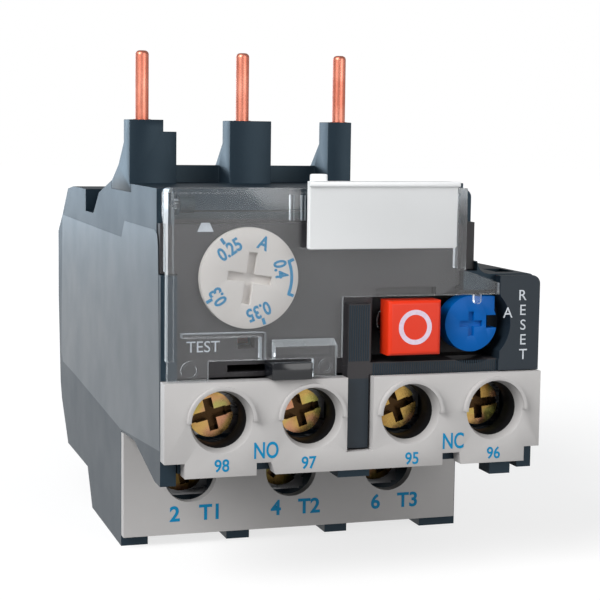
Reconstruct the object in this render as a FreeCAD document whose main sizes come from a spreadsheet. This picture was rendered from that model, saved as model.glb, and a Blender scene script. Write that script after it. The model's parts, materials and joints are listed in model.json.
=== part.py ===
"""Thermal overload relay for mounting under a contactor.

Bench frame used while modelling: X from the left side to the right, Y from
the front face of the grey contact terminal block to the back, Z from the feet
up.  Every finished piece is then shifted so that the origin lies under the
middle of the relay, at the level of its feet.
"""
import FreeCAD, Part
import math
import os
import re
import Sketcher

Vector = FreeCAD.Vector
Rotation = FreeCAD.Rotation

# Driving dimensions in millimetres: name, value, what it is.
SIZES = [
    # envelope
    ("width", 45.0, "overall width"),
    ("depth", 74.7, "rear edge, behind the terminal block's front face"),
    ("seam", 0.1, "gap between housing parts that meet"),
    ("side_wall", 1.8, "side walls of the main housing"),
    ("fit", 0.15, "all-round gap of pieces dropped into pockets"),
    # side outline of the main housing
    ("wall_front", 2.1, "front edge of the side walls beside the terminal block"),
    ("upper_front", 4.3, "front edge of the side walls beside the clear cover"),
    ("wall_split", 36.0, "height where the side wall's front edge steps back"),
    ("wall_low", 12.5, "lowest corner of the side walls in front of the foot"),
    ("belly", 14.6, "underside of the front overhang"),
    ("shoulder_top", 45.4, "top of the front half"),
    ("shoulder_back", 31.0, "rear end of the level top"),
    ("deck_top", 43.6, "top of the rear deck"),
    ("deck_front", 39.5, "front end of the rear deck"),
    ("deck_back", 60.5, "rear end of the rear deck"),
    ("rear_top", 36.3, "top of the upright rear edge"),
    ("rear_low", 26.4, "bottom of the upright rear edge"),
    ("step_height", 5.0, "height of the raised rear underside"),
    ("foot_back", 45.2, "rear end of the feet"),
    ("corner_back", 24.0, "rear end of the cut-away upper right corner"),
    ("upper_width", 37.5, "width of the housing above the reset shelf"),
    ("pin_wall", 1.2, "wall beside the third load lead"),
    ("shelf_fillet", 1.5, "hollow curve between that housing and the shelf"),
    ("shelf_round", 1.0, "rounding of the upper right corners"),
    ("shelf_top", 35.6, "top of the shelf above the reset column"),
    # rooms inside the main housing
    ("inner_top", 43.0, "ceiling of the front rooms"),
    ("bay_floor", 16.2, "floor of the mechanism room"),
    ("divider_front", 18.0, "front of the wall between mechanism and heaters"),
    ("divider", 1.4, "thickness of that wall"),
    ("bay_first", 8.5, "centre of the first pole"),
    ("bay_pitch", 13.2, "distance between poles"),
    ("bay_half", 5.1, "half the width of a pole's room"),
    ("rib_front", 27.3, "front edge of the ribs between poles"),
    ("bay_ceiling", 41.9, "ceiling of the heater rooms"),
    ("bay_bottom", 7.2, "floor of the heater rooms"),
    ("rear_wall", 1.8, "thickness of the rear wall"),
    ("terminal_back", 43.6, "back of the power terminal pockets"),
    ("terminal_top", 13.0, "ceiling of the power terminal pockets"),
    ("passage_front", 40.0, "front of the opening from pocket to heater room"),
    # posts and load pins
    ("pin_first", 1.9, "first load pin"),
    ("pin_pitch", 12.45, "distance between load pins"),
    ("pin_y", 21.4, "load pins behind the front face"),
    ("pin_radius", 0.8, "load pin radius"),
    ("pin_root", 1.05, "radius of the part of a pin inside its post"),
    ("pin_top", 61.2, "tip of the load pins"),
    ("post_front", 19.4, "front of the posts"),
    ("post_back", 23.0, "back of the posts"),
    ("post_top", 53.0, "top of the posts"),
    ("post_plate", 1.0, "thickness of the plate that carries the posts"),
    ("post_plate_end", 28.4, "right end of that plate"),
    ("post_wall_top", 47.5, "top of the low wall between the posts"),
    # grey contact terminal block
    ("aux_top", 24.3, "top of the contact terminal block"),
    ("aux_bottom", 13.7, "bottom of the contact terminal block"),
    ("aux_step", 15.4, "underside of its two corners"),
    ("aux_plate", 2.0, "thickness of its front plate"),
    ("aux_back", 4.2, "back of its screw bosses"),
    ("aux_corner", 2.3, "width of its corner steps"),
    ("aux_axis", 19.9, "height of its screws"),
    ("aux_first", 6.45, "first screw"),
    ("aux_pair", 10.5, "distance between the two screws of a pair"),
    ("aux_group", 22.29, "distance between the two pairs"),
    ("aux_bore", 3.0, "screwdriver hole radius"),
    ("aux_mouth", 3.55, "radius of the hole's flared mouth"),
    ("hood_radius", 3.95, "outer radius of the raised hood"),
    ("hood_proud", 0.6, "how far the hood stands out"),
    ("slot_left", 21.1, "left side of the slot between the pairs"),
    ("slot_right", 24.2, "right side of that slot"),
    ("slot_floor", 15.8, "floor of that slot"),
    ("aux_head_front", 5.0, "face of the contact terminal screws"),
    ("aux_head_radius", 2.6, "head radius of those screws"),
    ("aux_thread_radius", 1.75, "thread radius of those screws"),
    # lower grey cover and power terminals
    ("cover_front", 23.0, "front of the lower cover"),
    ("cover_plate", 1.4, "thickness of the lower cover"),
    ("cover_right", 44.3, "right edge of the lower cover"),
    ("cover_low", 1.4, "bottom edge of the lower cover"),
    ("cover_high", 14.5, "top edge of the lower cover"),
    ("power_axis", 8.8, "height of the power screws"),
    ("power_bore", 3.35, "hole radius over the power screws"),
    ("power_head_front", 28.0, "face of the power screws"),
    ("power_head_radius", 3.0, "head radius of the power screws"),
    ("power_thread_radius", 2.0, "thread radius of the power screws"),
    ("bar_front", 32.3, "front of the output bar's upright leg"),
    ("bar_thick", 1.4, "thickness of the output bar"),
    # heaters
    ("strip_front", 45.0, "front edge of the bimetal strips"),
    ("strip_back", 51.0, "back edge of the bimetal strips"),
    ("strip_half", 0.4, "half the thickness of a bimetal strip"),
    ("strip_foot", 12.4, "foot of the bimetal strips"),
    ("strip_tip", 40.8, "tip of the bimetal strips"),
    ("coil_low", 18.5, "bottom of the heater winding"),
    ("coil_high", 36.0, "top of the heater winding"),
    ("coil_half", 2.4, "half the thickness of the winding"),
    ("coil_edge", 1.3, "how far the winding reaches past the strip's edges"),
    ("wire", 0.6, "heater wire"),
    ("coil_turns", 11, "turns of heater wire"),
    ("lead_low", 40.2, "underside of the input leads"),
    ("lead_thick", 0.8, "thickness of the input leads"),
    ("lead_half", 1.1, "half the width of the input leads"),
    # upper front moulding
    ("face", 2.9, "face behind the clear cover"),
    ("panel_back", 9.0, "back of the upper front moulding"),
    ("column_front", 0.6, "front of the reset column"),
    ("column_left", 39.8, "left side of the reset column"),
    ("ledge_front", 1.0, "front of the ribbed ledges round the buttons"),
    ("ledge_top", 25.8, "top of the ledge under the buttons"),
    ("window_left", 24.9, "left side of the button window"),
    ("window_top", 33.3, "top of the button window"),
    ("window_floor", 7.0, "depth of the button window"),
    ("channel_low", 41.6, "bottom of the groove for the cover's hinge"),
    # clear cover and marker tag
    ("glass_front", 0.3, "front of the clear cover"),
    ("glass", 0.8, "thickness of the clear cover's front"),
    ("glass_rim", 0.8, "thickness of its rims"),
    ("glass_left", 0.4, "left edge of the clear cover"),
    ("glass_right", 35.3, "right edge of the clear cover"),
    ("glass_top", 45.6, "top edge of the clear cover"),
    ("glass_low", 24.5, "bottom edge of the clear cover's feet"),
    ("glass_step", 26.6, "bottom edge between the feet"),
    ("web_gap", 0.43, "gap between the dial and the inner web under it"),
    ("web_right", 11.7, "right end of that web"),
    ("grip_front", -1.1, "front of the finger grip"),
    ("grip_top", 28.9, "top of the finger grip"),
    ("peg_x", 36.9, "middle of the sealing peg"),
    ("glass_notch", 20.5, "left side of the button cut-out"),
    ("glass_lip", 33.4, "bottom edge over the buttons"),
    ("hinge_y", 2.4, "hinge line of the clear cover, from the front"),
    ("hinge_z", 43.8, "hinge line of the clear cover, height"),
    ("peg_radius", 0.55, "hinge peg radius"),
    ("ear_radius", 1.0, "radius of the ears round the hinge pegs"),
    ("run", 0.06, "running clearance of pegs and stems"),
    ("tag_front", -1.6, "front of the marker tag"),
    ("tag_thick", 1.0, "thickness of the marker tag"),
    ("tag_left", 15.8, "left edge of the marker tag"),
    ("tag_right", 33.4, "right edge of the marker tag"),
    ("tag_low", 38.9, "bottom edge of the marker tag"),
    ("tag_high", 46.4, "top edge of the marker tag"),
    # current dial
    ("dial_x", 9.9, "dial centre"),
    ("dial_z", 35.6, "dial centre height"),
    ("dial_radius", 5.62, "dial radius"),
    ("dial_front", 1.7, "front of the dial"),
    ("dial_thick", 1.0, "thickness of the dial's disc"),
    ("dial_stem", 2.2, "dial stem radius"),
    ("cam_radius", 2.6, "radius of the setting cam"),
    ("cam_throw", 0.8, "offset of the setting cam"),
    # buttons
    ("stop_x", 28.9, "stop button centre"),
    ("stop_z", 29.8, "stop button centre height"),
    ("stop_wide", 6.4, "stop button width"),
    ("stop_high", 6.25, "stop button height"),
    ("stop_front", -0.5, "face of the stop button"),
    ("stop_cap", 2.8, "thickness of the stop button's cap"),
    ("stem_radius", 1.7, "stem radius of the stop button"),
    ("reset_x", 36.6, "reset knob centre"),
    ("reset_z", 29.9, "reset knob centre height"),
    ("knob_radius", 3.25, "reset knob radius"),
    ("knob_front", 1.4, "face of the reset knob"),
    ("knob_thick", 2.4, "thickness of the reset knob"),
    ("knob_sweep", 4.6, "radius cleared for the knob's wing as it turns"),
    ("reset_stem", 1.5, "reset stem radius"),
    ("spring_wire", 0.35, "button spring wire"),
    # test slide and trip flag
    ("tab_left", 12.0, "left side of the test slide's tab"),
    ("tab_right", 16.7, "right side of the test slide's tab"),
    ("tab_front", -0.7, "front of the test slide's tab"),
    ("tab_low", 24.4, "bottom of the test slide's tab"),
    ("tab_high", 26.3, "top of the test slide's tab"),
    ("test_travel", 4.0, "travel of the test slide"),
    ("flag_x", 8.9, "left side of the flag window"),
    ("flag_wide", 2.0, "width of the flag window"),
    ("flag_z", 27.6, "bottom of the flag window"),
    ("flag_high", 1.2, "height of the flag window"),
    # trip mechanism
    ("slider_y", 53.0, "front of the trip sliders' bars"),
    ("slider_thick", 1.2, "thickness of the trip sliders' bars"),
    ("lever_x", 33.5, "pivot of the compensation lever"),
    ("lever_y", 11.8, "pivot of the compensation lever, from the front"),
    ("lug_low", 28.4, "underside of the lug that holds the pivot pin"),
    ("lug_high", 30.4, "top of that lug"),
    ("lever_pin", 0.8, "radius of the lever's pivot pin"),
    ("carrier_y", 15.0, "front of the contact carrier"),
]

document = FreeCAD.newDocument("overload_relay")
sheet = document.addObject("Spreadsheet::Sheet", "Sizes")
for row, (alias, value, meaning) in enumerate(SIZES, start=1):
    sheet.set("A%d" % row, meaning)
    sheet.set("B%d" % row, str(value))
    sheet.setAlias("B%d" % row, alias)
document.recompute()

NAMES = {alias for alias, value, meaning in SIZES}
FINISHED = []


# ---------------------------------------------------------------- helpers
def formula(text):
    """The text of a formula with its size names pointing at the sheet."""
    def point(match):
        word = match.group()
        return "Sizes." + word if word in NAMES else word
    return re.sub(r"[a-z][a-z_]*", point, str(text))


def number(text):
    """The present value of a formula."""
    return float(sheet.evalExpression(formula(text)))


def bind(obj, path, text):
    obj.setExpression(path, formula(text))


def bind_corner(obj, x, y, z):
    bind(obj, "Placement.Base.x", x)
    bind(obj, "Placement.Base.y", y)
    bind(obj, "Placement.Base.z", z)


def box(name, x, y, z):
    """A block between pairs of bound coordinates."""
    block = document.addObject("Part::Box", name)
    bind(block, "Length", "(%s) - (%s)" % (x[1], x[0]))
    bind(block, "Width", "(%s) - (%s)" % (y[1], y[0]))
    bind(block, "Height", "(%s) - (%s)" % (z[1], z[0]))
    bind_corner(block, x[0], y[0], z[0])
    return block


TURNS = {
    "x": Rotation(Vector(0, 1, 0), 90),
    "y": Rotation(Vector(1, 0, 0), -90),
    "z": Rotation(),
}


def corner(axis, across, along):
    """Base point of a round piece: across holds the two other coordinates."""
    if axis == "x":
        return (along, across[0], across[1])
    if axis == "y":
        return (across[0], along, across[1])
    return (across[0], across[1], along)


def rod(name, axis, across, span, radius):
    """A cylinder along an axis between two bound levels."""
    shaft = document.addObject("Part::Cylinder", name)
    bind(shaft, "Radius", radius)
    bind(shaft, "Height", "(%s) - (%s)" % (span[1], span[0]))
    shaft.Placement.Rotation = TURNS[axis]
    bind_corner(shaft, *corner(axis, across, span[0]))
    return shaft


def fuse(name, *pieces):
    union = document.addObject("Part::MultiFuse", name)
    union.Shapes = list(pieces)
    union.Refine = True
    return union


def cut(name, base, *tools):
    difference = document.addObject("Part::Cut", name)
    difference.Base = base
    difference.Tool = tools[0] if len(tools) == 1 else fuse(name + "_tools", *tools)
    difference.Refine = True
    return difference


def group(name, *pieces):
    """Several separate solids kept as one piece of the parts list."""
    together = document.addObject("Part::Compound", name)
    together.Links = list(pieces)
    return together


PLANES = {"xy": "XY_Plane", "xz": "XZ_Plane", "yz": "YZ_Plane"}
OUTWARD = {"xy": 1, "xz": -1, "yz": 1}     # the xz plane looks towards the front


def new_body(name):
    return document.addObject("PartDesign::Body", name)


def sketch(body, plane, level, outlines=(), circles=()):
    """Closed outlines and circles on one of the body's own planes.

    Corners are pairs of bound coordinates, circles are centre and radius.
    """
    drawing = body.newObject("Sketcher::SketchObject", body.Name + "_outline")
    role = PLANES[plane]
    own_plane = [f for f in body.Origin.OriginFeatures if f.Role == role][0]
    drawing.AttachmentSupport = (own_plane, [""])
    drawing.MapMode = "FlatFace"
    sign = "" if OUTWARD[plane] > 0 else "-"
    bind(drawing, "AttachmentOffset.Base.z", "%s(%s)" % (sign, level))
    for outline in outlines:
        add_outline(drawing, outline)
    for across, up, radius in circles:
        add_circle(drawing, across, up, radius)
    return drawing


def pin_point(drawing, geometry, point, across, up):
    """Ties a point of the sketch to bound coordinates."""
    for kind, text in (("DistanceX", across), ("DistanceY", up)):
        constraint = Sketcher.Constraint(kind, -1, 1, geometry, point, number(text))
        index = drawing.addConstraint(constraint)
        bind(drawing, "Constraints[%d]" % index, text)


def add_outline(drawing, outline):
    first = drawing.GeometryCount
    count = len(outline)
    spots = [Vector(number(a), number(b), 0) for a, b in outline]
    for i in range(count):
        line = Part.LineSegment(spots[i], spots[(i + 1) % count])
        drawing.addGeometry(line, False)
    for i in range(count):
        following = first + (i + 1) % count
        drawing.addConstraint(Sketcher.Constraint("Coincident", first + i, 2, following, 1))
    for i, (across, up) in enumerate(outline):
        pin_point(drawing, first + i, 1, across, up)


def add_circle(drawing, across, up, radius):
    index = drawing.GeometryCount
    centre = Vector(number(across), number(up), 0)
    drawing.addGeometry(Part.Circle(centre, Vector(0, 0, 1), number(radius)), False)
    pin_point(drawing, index, 3, across, up)
    tie = drawing.addConstraint(Sketcher.Constraint("Radius", index, number(radius)))
    bind(drawing, "Constraints[%d]" % tie, radius)


def rectangle(across, up):
    return [(across[0], up[0]), (across[1], up[0]), (across[1], up[1]), (across[0], up[1])]


def pad(body, plane, span, outlines=(), circles=()):
    """Adds material over a span square to the plane."""
    low, high = span
    start = low if OUTWARD[plane] > 0 else high
    feature = body.newObject("PartDesign::Pad", body.Name + "_pad")
    feature.Profile = sketch(body, plane, start, outlines, circles)
    bind(feature, "Length", "(%s) - (%s)" % (high, low))
    return feature


def pocket(body, plane, span, outlines=(), circles=()):
    """Takes material away over a span square to the plane."""
    low, high = span
    start = high if OUTWARD[plane] > 0 else low
    document.recompute()
    before = body.Shape.Volume
    feature = body.newObject("PartDesign::Pocket", body.Name + "_pocket")
    feature.Profile = sketch(body, plane, start, outlines, circles)
    bind(feature, "Length", "(%s) - (%s)" % (high, low))
    document.recompute()
    if body.Shape.Volume >= before:
        raise RuntimeError("a pocket of %s cuts nothing" % body.Name)
    return feature


def edges_where(body, test):
    """Names of the edges of a body whose two ends pass a test."""
    document.recompute()
    chosen = []
    for index, edge in enumerate(body.Tip.Shape.Edges, start=1):
        ends = [v.Point for v in edge.Vertexes]
        if test(edge, ends):
            chosen.append("Edge%d" % index)
    return chosen


def soften(body, radius, test):
    """Rounds the edges of a body that pass a test."""
    chosen = edges_where(body, test)
    if not chosen:
        raise RuntimeError("no edge of %s to round" % body.Name)
    base = body.Tip
    feature = body.newObject("PartDesign::Fillet", body.Name + "_fillet")
    feature.Base = (base, chosen)
    bind(feature, "Radius", radius)
    return feature


def along(direction, *lines):
    """A test for straight edges along an axis that pass near given points.

    Each line gives its two other coordinates as formulas, in X, Y, Z order.
    """
    axis = "xyz".index(direction)
    others = [i for i in range(3) if i != axis]
    marks = [(number(a), number(b)) for a, b in lines]

    def test(edge, ends):
        if len(ends) != 2 or edge.Curve.TypeId != "Part::GeomLine":
            return False
        one, two = ends
        if any(abs(one[i] - two[i]) > 1e-6 for i in others):
            return False
        spot = (one[others[0]], one[others[1]])
        return any(abs(spot[0] - a) < 0.01 and abs(spot[1] - b) < 0.01 for a, b in marks)
    return test


def finish(label, piece):
    """Names a finished piece and moves it into the relay's own frame."""
    bound = dict(piece.ExpressionEngine)
    for axis, shift in (("x", "- width / 2"), ("y", "- (tag_front + depth) / 2"), ("z", "")):
        path = "Placement.Base." + axis
        present = bound.get(path, bound.get("." + path, "0"))
        piece.setExpression(path, "(%s) %s" % (present, formula(shift)))
    piece.Label = label
    FINISHED.append(piece)


def pole_x(index):
    return "(bay_first + %d * bay_pitch)" % index


def pin_x(index):
    return "(pin_first + %d * pin_pitch)" % index


def aux_x(index):
    return "(aux_first + %d * aux_pair + %d * aux_group)" % (index % 2, index // 2)


def around(centre, half):
    return ("%s - (%s)" % (centre, half), "%s + (%s)" % (centre, half))


# ---------------------------------------------------------------- housing
def main_housing():
    """Open-fronted moulding: side walls, top, rear and the ribs between poles."""
    body = new_body("housing")
    outline = [
        ("wall_front", "wall_low"),
        ("wall_front", "wall_split"),
        ("upper_front", "wall_split"),
        ("upper_front", "shoulder_top"),
        ("shoulder_back", "shoulder_top"),
        ("deck_front", "deck_top"),
        ("deck_back", "deck_top"),
        ("deck_back + 4.9", "deck_top - 0.5"),
        ("depth - 4.2", "rear_top + 2.8"),
        ("depth", "rear_top"),
        ("depth", "rear_low"),
        ("depth - 1.6", "rear_low - 13"),
        ("depth - 2.8", "rear_low - 15.5"),
        ("depth - 8.8", "step_height"),
        ("foot_back + 3.7", "step_height"),
        ("foot_back", "0"),
        ("cover_front + cover_plate + seam", "0"),
        ("cover_front + cover_plate + seam", "belly"),
        ("cover_front - 6.6", "belly + 0.4"),
        ("wall_front + 2.9", "wall_low"),
    ]
    pad(body, "yz", ("0", "width"), [outline])
    # the upper right corner is cut away above the reset shelf
    pocket(body, "xz", ("0", "corner_back"),
           [rectangle(("upper_width", "width + 1"), ("shelf_top", "shoulder_top + 1"))])
    hollow = [("upper_width", "shelf_top - 0.1")]
    for turn in (0, 22.5, 45, 67.5, 90):
        across, up = 1 - math.cos(math.radians(turn)), 1 - math.sin(math.radians(turn))
        hollow.append(("upper_width + shelf_fillet * %.5f" % across,
                       "shelf_top + shelf_fillet * %.5f" % up))
    hollow.append(("upper_width + shelf_fillet", "shelf_top - 0.1"))
    pad(body, "xz", ("wall_front", "corner_back"), [hollow])
    soften(body, "shelf_round", along("y", ("width", "shelf_top"), ("upper_width", "shoulder_top")))
    # blind slot in the shelf
    pocket(body, "xy", ("shelf_top - 1.2", "shelf_top + 0.5"), [rectangle(("41", "43.4"), ("4.4", "8.6"))])
    # mechanism room, open to the front
    low_room = rectangle(("side_wall", "width - side_wall"), ("bay_floor", "shelf_top - side_wall"))
    pocket(body, "xz", ("0", "divider_front"), [low_room])
    high_room = rectangle(("side_wall", "upper_width - side_wall"), ("shelf_top - side_wall", "inner_top"))
    pocket(body, "xz", ("0", "divider_front"), [high_room])
    # room behind the divider, where the load pins come in
    pin_room = rectangle(("side_wall", "upper_width - pin_wall"), ("bay_floor", "inner_top"))
    pocket(body, "xz", ("divider_front + divider", "rib_front + seam"), [pin_room])
    # everything in front of the lowest floor stays clear for the terminal block
    under_front = rectangle(("side_wall", "width - side_wall"), ("wall_low - 1", "bay_floor"))
    pocket(body, "xz", ("0", "divider_front - 0.4"), [under_front])
    heater_room = [
        ("rib_front", "bay_floor"),
        ("rib_front", "bay_ceiling"),
        ("deck_back", "bay_ceiling"),
        ("deck_back + 4", "bay_ceiling - 0.6"),
        ("depth - rear_wall", "rear_top - 1.8"),
        ("depth - rear_wall", "rear_low"),
        ("depth - rear_wall - 1.6", "rear_low - 12.2"),
        ("depth - rear_wall - 8", "bay_bottom"),
        ("passage_front", "bay_bottom"),
        ("passage_front", "bay_floor"),
    ]
    terminal_room = rectangle(("cover_front", "terminal_back"), ("-1", "terminal_top"))
    for index in range(3):
        low, high = around(pole_x(index), "bay_half")
        pocket(body, "yz", (low, high), [heater_room])
        pocket(body, "yz", (low, high), [terminal_room])
    # slot in the ribs for the trip sliders
    slider_slot = rectangle(("slider_y - 1", "slider_y + 2 * slider_thick + 1"),
                            ("coil_high + 0.8", "bay_ceiling"))
    pocket(body, "yz", (around(pole_x(0), "bay_half")[0], around(pole_x(2), "bay_half")[1]), [slider_slot])
    # opening in the divider for the slider's arm
    pocket(body, "xz", ("divider_front - 0.5", "divider_front + divider + 0.5"),
           [rectangle(("lever_x - 4.1", "lever_x + 0.1"), ("36.2", "39"))])
    # seat and holes for the pin block
    pocket(body, "xy", ("shoulder_top - post_plate", "shoulder_top + 1"),
           [rectangle(("-1", "post_plate_end + seam"), ("post_front - 0.9", "shoulder_back"))])
    pin_holes = [(pin_x(i), "pin_y", "pin_root + fit") for i in range(3)]
    pocket(body, "xy", ("lead_low - 0.4", "shoulder_top"), circles=pin_holes)
    pocket(body, "xy", ("lead_low - 0.4", "inner_top"),
           [rectangle(("pin_first - lead_half - 0.1", "side_wall + 1"),
                      around("pin_y", "lead_half + 0.3"))])
    # notch in the left edge of the deck
    notch = [("deck_front + 4.6", "deck_top - 3"), ("deck_front + 10.6", "deck_top - 3"),
             ("deck_front + 10.6", "deck_top + 1"), ("deck_front - 1.2", "deck_top + 1")]
    pocket(body, "yz", ("-1", "2.4"), [notch])
    finish("main_housing", body)


def pin_block():
    """The three insulating posts on their common plate."""
    body = new_body("pin_posts")
    plate = rectangle(("0", "post_plate_end"), ("post_front - 0.8", "shoulder_back - seam"))
    pad(body, "xy", ("shoulder_top - post_plate", "shoulder_top"), [plate])
    profile = [
        ("post_front", "shoulder_top - 0.5"),
        ("post_front", "post_top"),
        ("post_back", "post_top"),
        ("post_back", "post_top - 2.7"),
        ("post_back + 3.4", "post_wall_top"),
        ("shoulder_back - seam", "shoulder_top"),
        ("shoulder_back - seam", "shoulder_top - 0.5"),
    ]
    pad(body, "yz", ("0", "pin_first + 2.2"), [profile])
    pad(body, "yz", ("12.3", "17.5"), [profile])
    pad(body, "yz", ("24.8", "27.8"), [profile])
    low_post = rectangle(("post_front", "post_back"), ("shoulder_top - 0.5", "post_top - 1.4"))
    pad(body, "yz", ("pin_first + 2.2", "pin_first + 3.8"), [low_post])
    wall = rectangle(("post_back + 1.5", "post_back + 3.4"), ("shoulder_top - 0.5", "post_wall_top"))
    pad(body, "yz", ("0", "26"), [wall])
    bores = [(pin_x(i), "pin_y", "pin_root + run") for i in range(3)]
    pocket(body, "xy", ("shoulder_top - post_plate - 1", "post_top + 1"), circles=bores)
    finish("pin_block", body)


def load_pin(index):
    body = new_body("pin_%d" % (index + 1))
    pad(body, "xy", ("post_top", "pin_top"), circles=[(pin_x(index), "pin_y", "pin_radius")])
    pad(body, "xy", ("lead_low + lead_thick", "post_top + 0.05"),
        circles=[(pin_x(index), "pin_y", "pin_root")])
    top = number("pin_top")
    soften(body, "pin_radius * 0.6", lambda edge, ends: all(abs(p.z - top) < 0.01 for p in ends))
    finish("load_pin_%d" % (index + 1), body)


# ---------------------------------------------------------------- heaters
def input_lead(index):
    """Flat copper lead from a load pin to the top of its heater winding."""
    pole = pole_x(index)
    pin = pin_x(index)
    name = "lead_%d" % (index + 1)
    level = ("lead_low", "lead_low + lead_thick")
    across = box(name + "_across", ("%s - lead_half" % pin, "%s + lead_half" % pole),
                 around("pin_y", "lead_half"), level)
    back = box(name + "_back", around(pole, "lead_half"),
               ("pin_y", "strip_front - coil_edge - seam"), level)
    drop = box(name + "_drop", around(pole, "lead_half"),
               ("strip_front - coil_edge - seam - lead_thick", "strip_front - coil_edge - seam"),
               ("coil_high - 2", "lead_low + lead_thick"))
    finish("input_lead_%d" % (index + 1), fuse(name, across, back, drop))


def bimetal_strip(index):
    pole = pole_x(index)
    strip = box("strip_%d" % (index + 1), around(pole, "strip_half"),
                ("strip_front", "strip_back"), ("strip_foot", "strip_tip"))
    finish("bimetal_strip_%d" % (index + 1), strip)


def heater_winding(index):
    """Flat sleeve with turns of resistance wire, slipped over a strip."""
    pole = pole_x(index)
    body = new_body("winding_%d" % (index + 1))
    shell_x = around(pole, "(coil_half - wire)")
    shell_y = ("strip_front - coil_edge + wire", "strip_back + coil_edge - wire")
    pad(body, "xy", ("coil_low", "coil_high"), [rectangle(shell_x, shell_y)])
    turn = pad(body, "xy", ("coil_low + 0.8", "coil_low + 0.8 + wire"),
               [rectangle(around(pole, "coil_half"),
                          ("strip_front - coil_edge", "strip_back + coil_edge"))])
    pattern = body.newObject("PartDesign::LinearPattern", body.Name + "_turns")
    pattern.Originals = [turn]
    vertical = [f for f in body.Origin.OriginFeatures if f.Role == "Z_Axis"][0]
    pattern.Direction = (vertical, [""])
    bind(pattern, "Length", "coil_high - coil_low - 1.6 - wire")
    bind(pattern, "Occurrences", "coil_turns")
    body.Tip = pattern
    pocket(body, "xy", ("coil_low - 1", "coil_high + 1"),
           [rectangle(around(pole, "(strip_half + fit)"), ("strip_front - fit", "strip_back + fit"))])
    finish("heater_winding_%d" % (index + 1), body)


def output_bar(index):
    """Copper bar from the foot of a strip to its power terminal."""
    pole = pole_x(index)
    name = "bar_%d" % (index + 1)
    upright = box(name + "_upright", around(pole, "4"), ("bar_front", "bar_front + bar_thick"),
                  ("power_axis - 4.6", "strip_foot"))
    level = box(name + "_level", around(pole, "3"), ("bar_front", "strip_back"),
                ("strip_foot - bar_thick + 0.2", "strip_foot"))
    tab = box(name + "_tab", ("%s + strip_half" % pole, "%s + strip_half + 1" % pole),
              ("strip_front", "strip_back"), ("strip_foot - 0.5", "coil_low - 0.5"))
    hole = rod(name + "_hole", "y", (pole, "power_axis"), ("bar_front - 1", "bar_front + bar_thick + 1"),
               "power_thread_radius + run")
    finish("output_bar_%d" % (index + 1), cut(name, fuse(name + "_bent", upright, level, tab), hole))


def cross_recess(name, centre, height, front, reach, arm, deep):
    """Two crossed slots in a screw head, to cut away."""
    flat = box(name + "_flat", around(centre, reach), (front + " - 1", front + " + " + deep),
               around(height, arm))
    upright = box(name + "_upright", around(centre, arm), (front + " - 1", front + " + " + deep),
                  around(height, reach))
    return fuse(name, flat, upright)


def terminal_screw(name, centre, height, front, head, thread, head_long, shank_end, turn):
    """Screw with a cross recess and a full slot, stopped at some turn about its axis."""
    cap = rod(name + "_cap", "y", (centre, height), (front, "%s + %s" % (front, head_long)), head)
    shank = rod(name + "_shank", "y", (centre, height),
                ("%s + %s - 0.2" % (front, head_long), shank_end), thread)
    recess = cross_recess(name + "_recess", centre, height, front, "(%s * 0.72)" % head,
                          "(%s * 0.2)" % head, "1.1")
    slot = box(name + "_slot", around(centre, head + " + 0.2"), (front + " - 1", front + " + 0.7"),
               around(height, "%s * 0.16" % head))
    screw = cut(name, fuse(name + "_blank", cap, shank), recess, slot)
    axis = Vector(number(centre), 0, number(height))
    turned = Rotation(Vector(0, 1, 0), turn)
    screw.Placement = FreeCAD.Placement(axis - turned.multVec(axis), turned)
    return screw


def power_screws():
    screws = [
        terminal_screw("power_screw_%d" % i, pole_x(i), "power_axis", "power_head_front",
                       "power_head_radius", "power_thread_radius", "2.4", "bar_front + bar_thick + 4", turn)
        for i, turn in enumerate((-12, 38, -25))
    ]
    finish("power_screws", group("power_screw_group", *screws))


def power_washers():
    washers = []
    for i in range(3):
        name = "power_washer_%d" % i
        plate = box(name + "_plate", around(pole_x(i), "4"),
                    ("power_head_front + 2.5", "power_head_front + 3.5"),
                    around("power_axis", "3.9"))
        hole = rod(name + "_hole", "y", (pole_x(i), "power_axis"),
                   ("power_head_front + 2", "power_head_front + 4"), "power_thread_radius + fit")
        washers.append(cut(name, plate, hole))
    finish("power_washers", group("power_washer_group", *washers))


def power_cover():
    """Lower grey cover with a screwdriver hole over each power screw."""
    body = new_body("lower_cover")
    span = ("cover_front", "cover_front + cover_plate")
    outline = rectangle(("0", "cover_right"), ("cover_low", "cover_high"))
    holes = [(pole_x(i), "power_axis", "power_bore") for i in range(3)]
    pad(body, "xz", span, [outline], holes)
    finish("power_cover", body)


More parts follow.
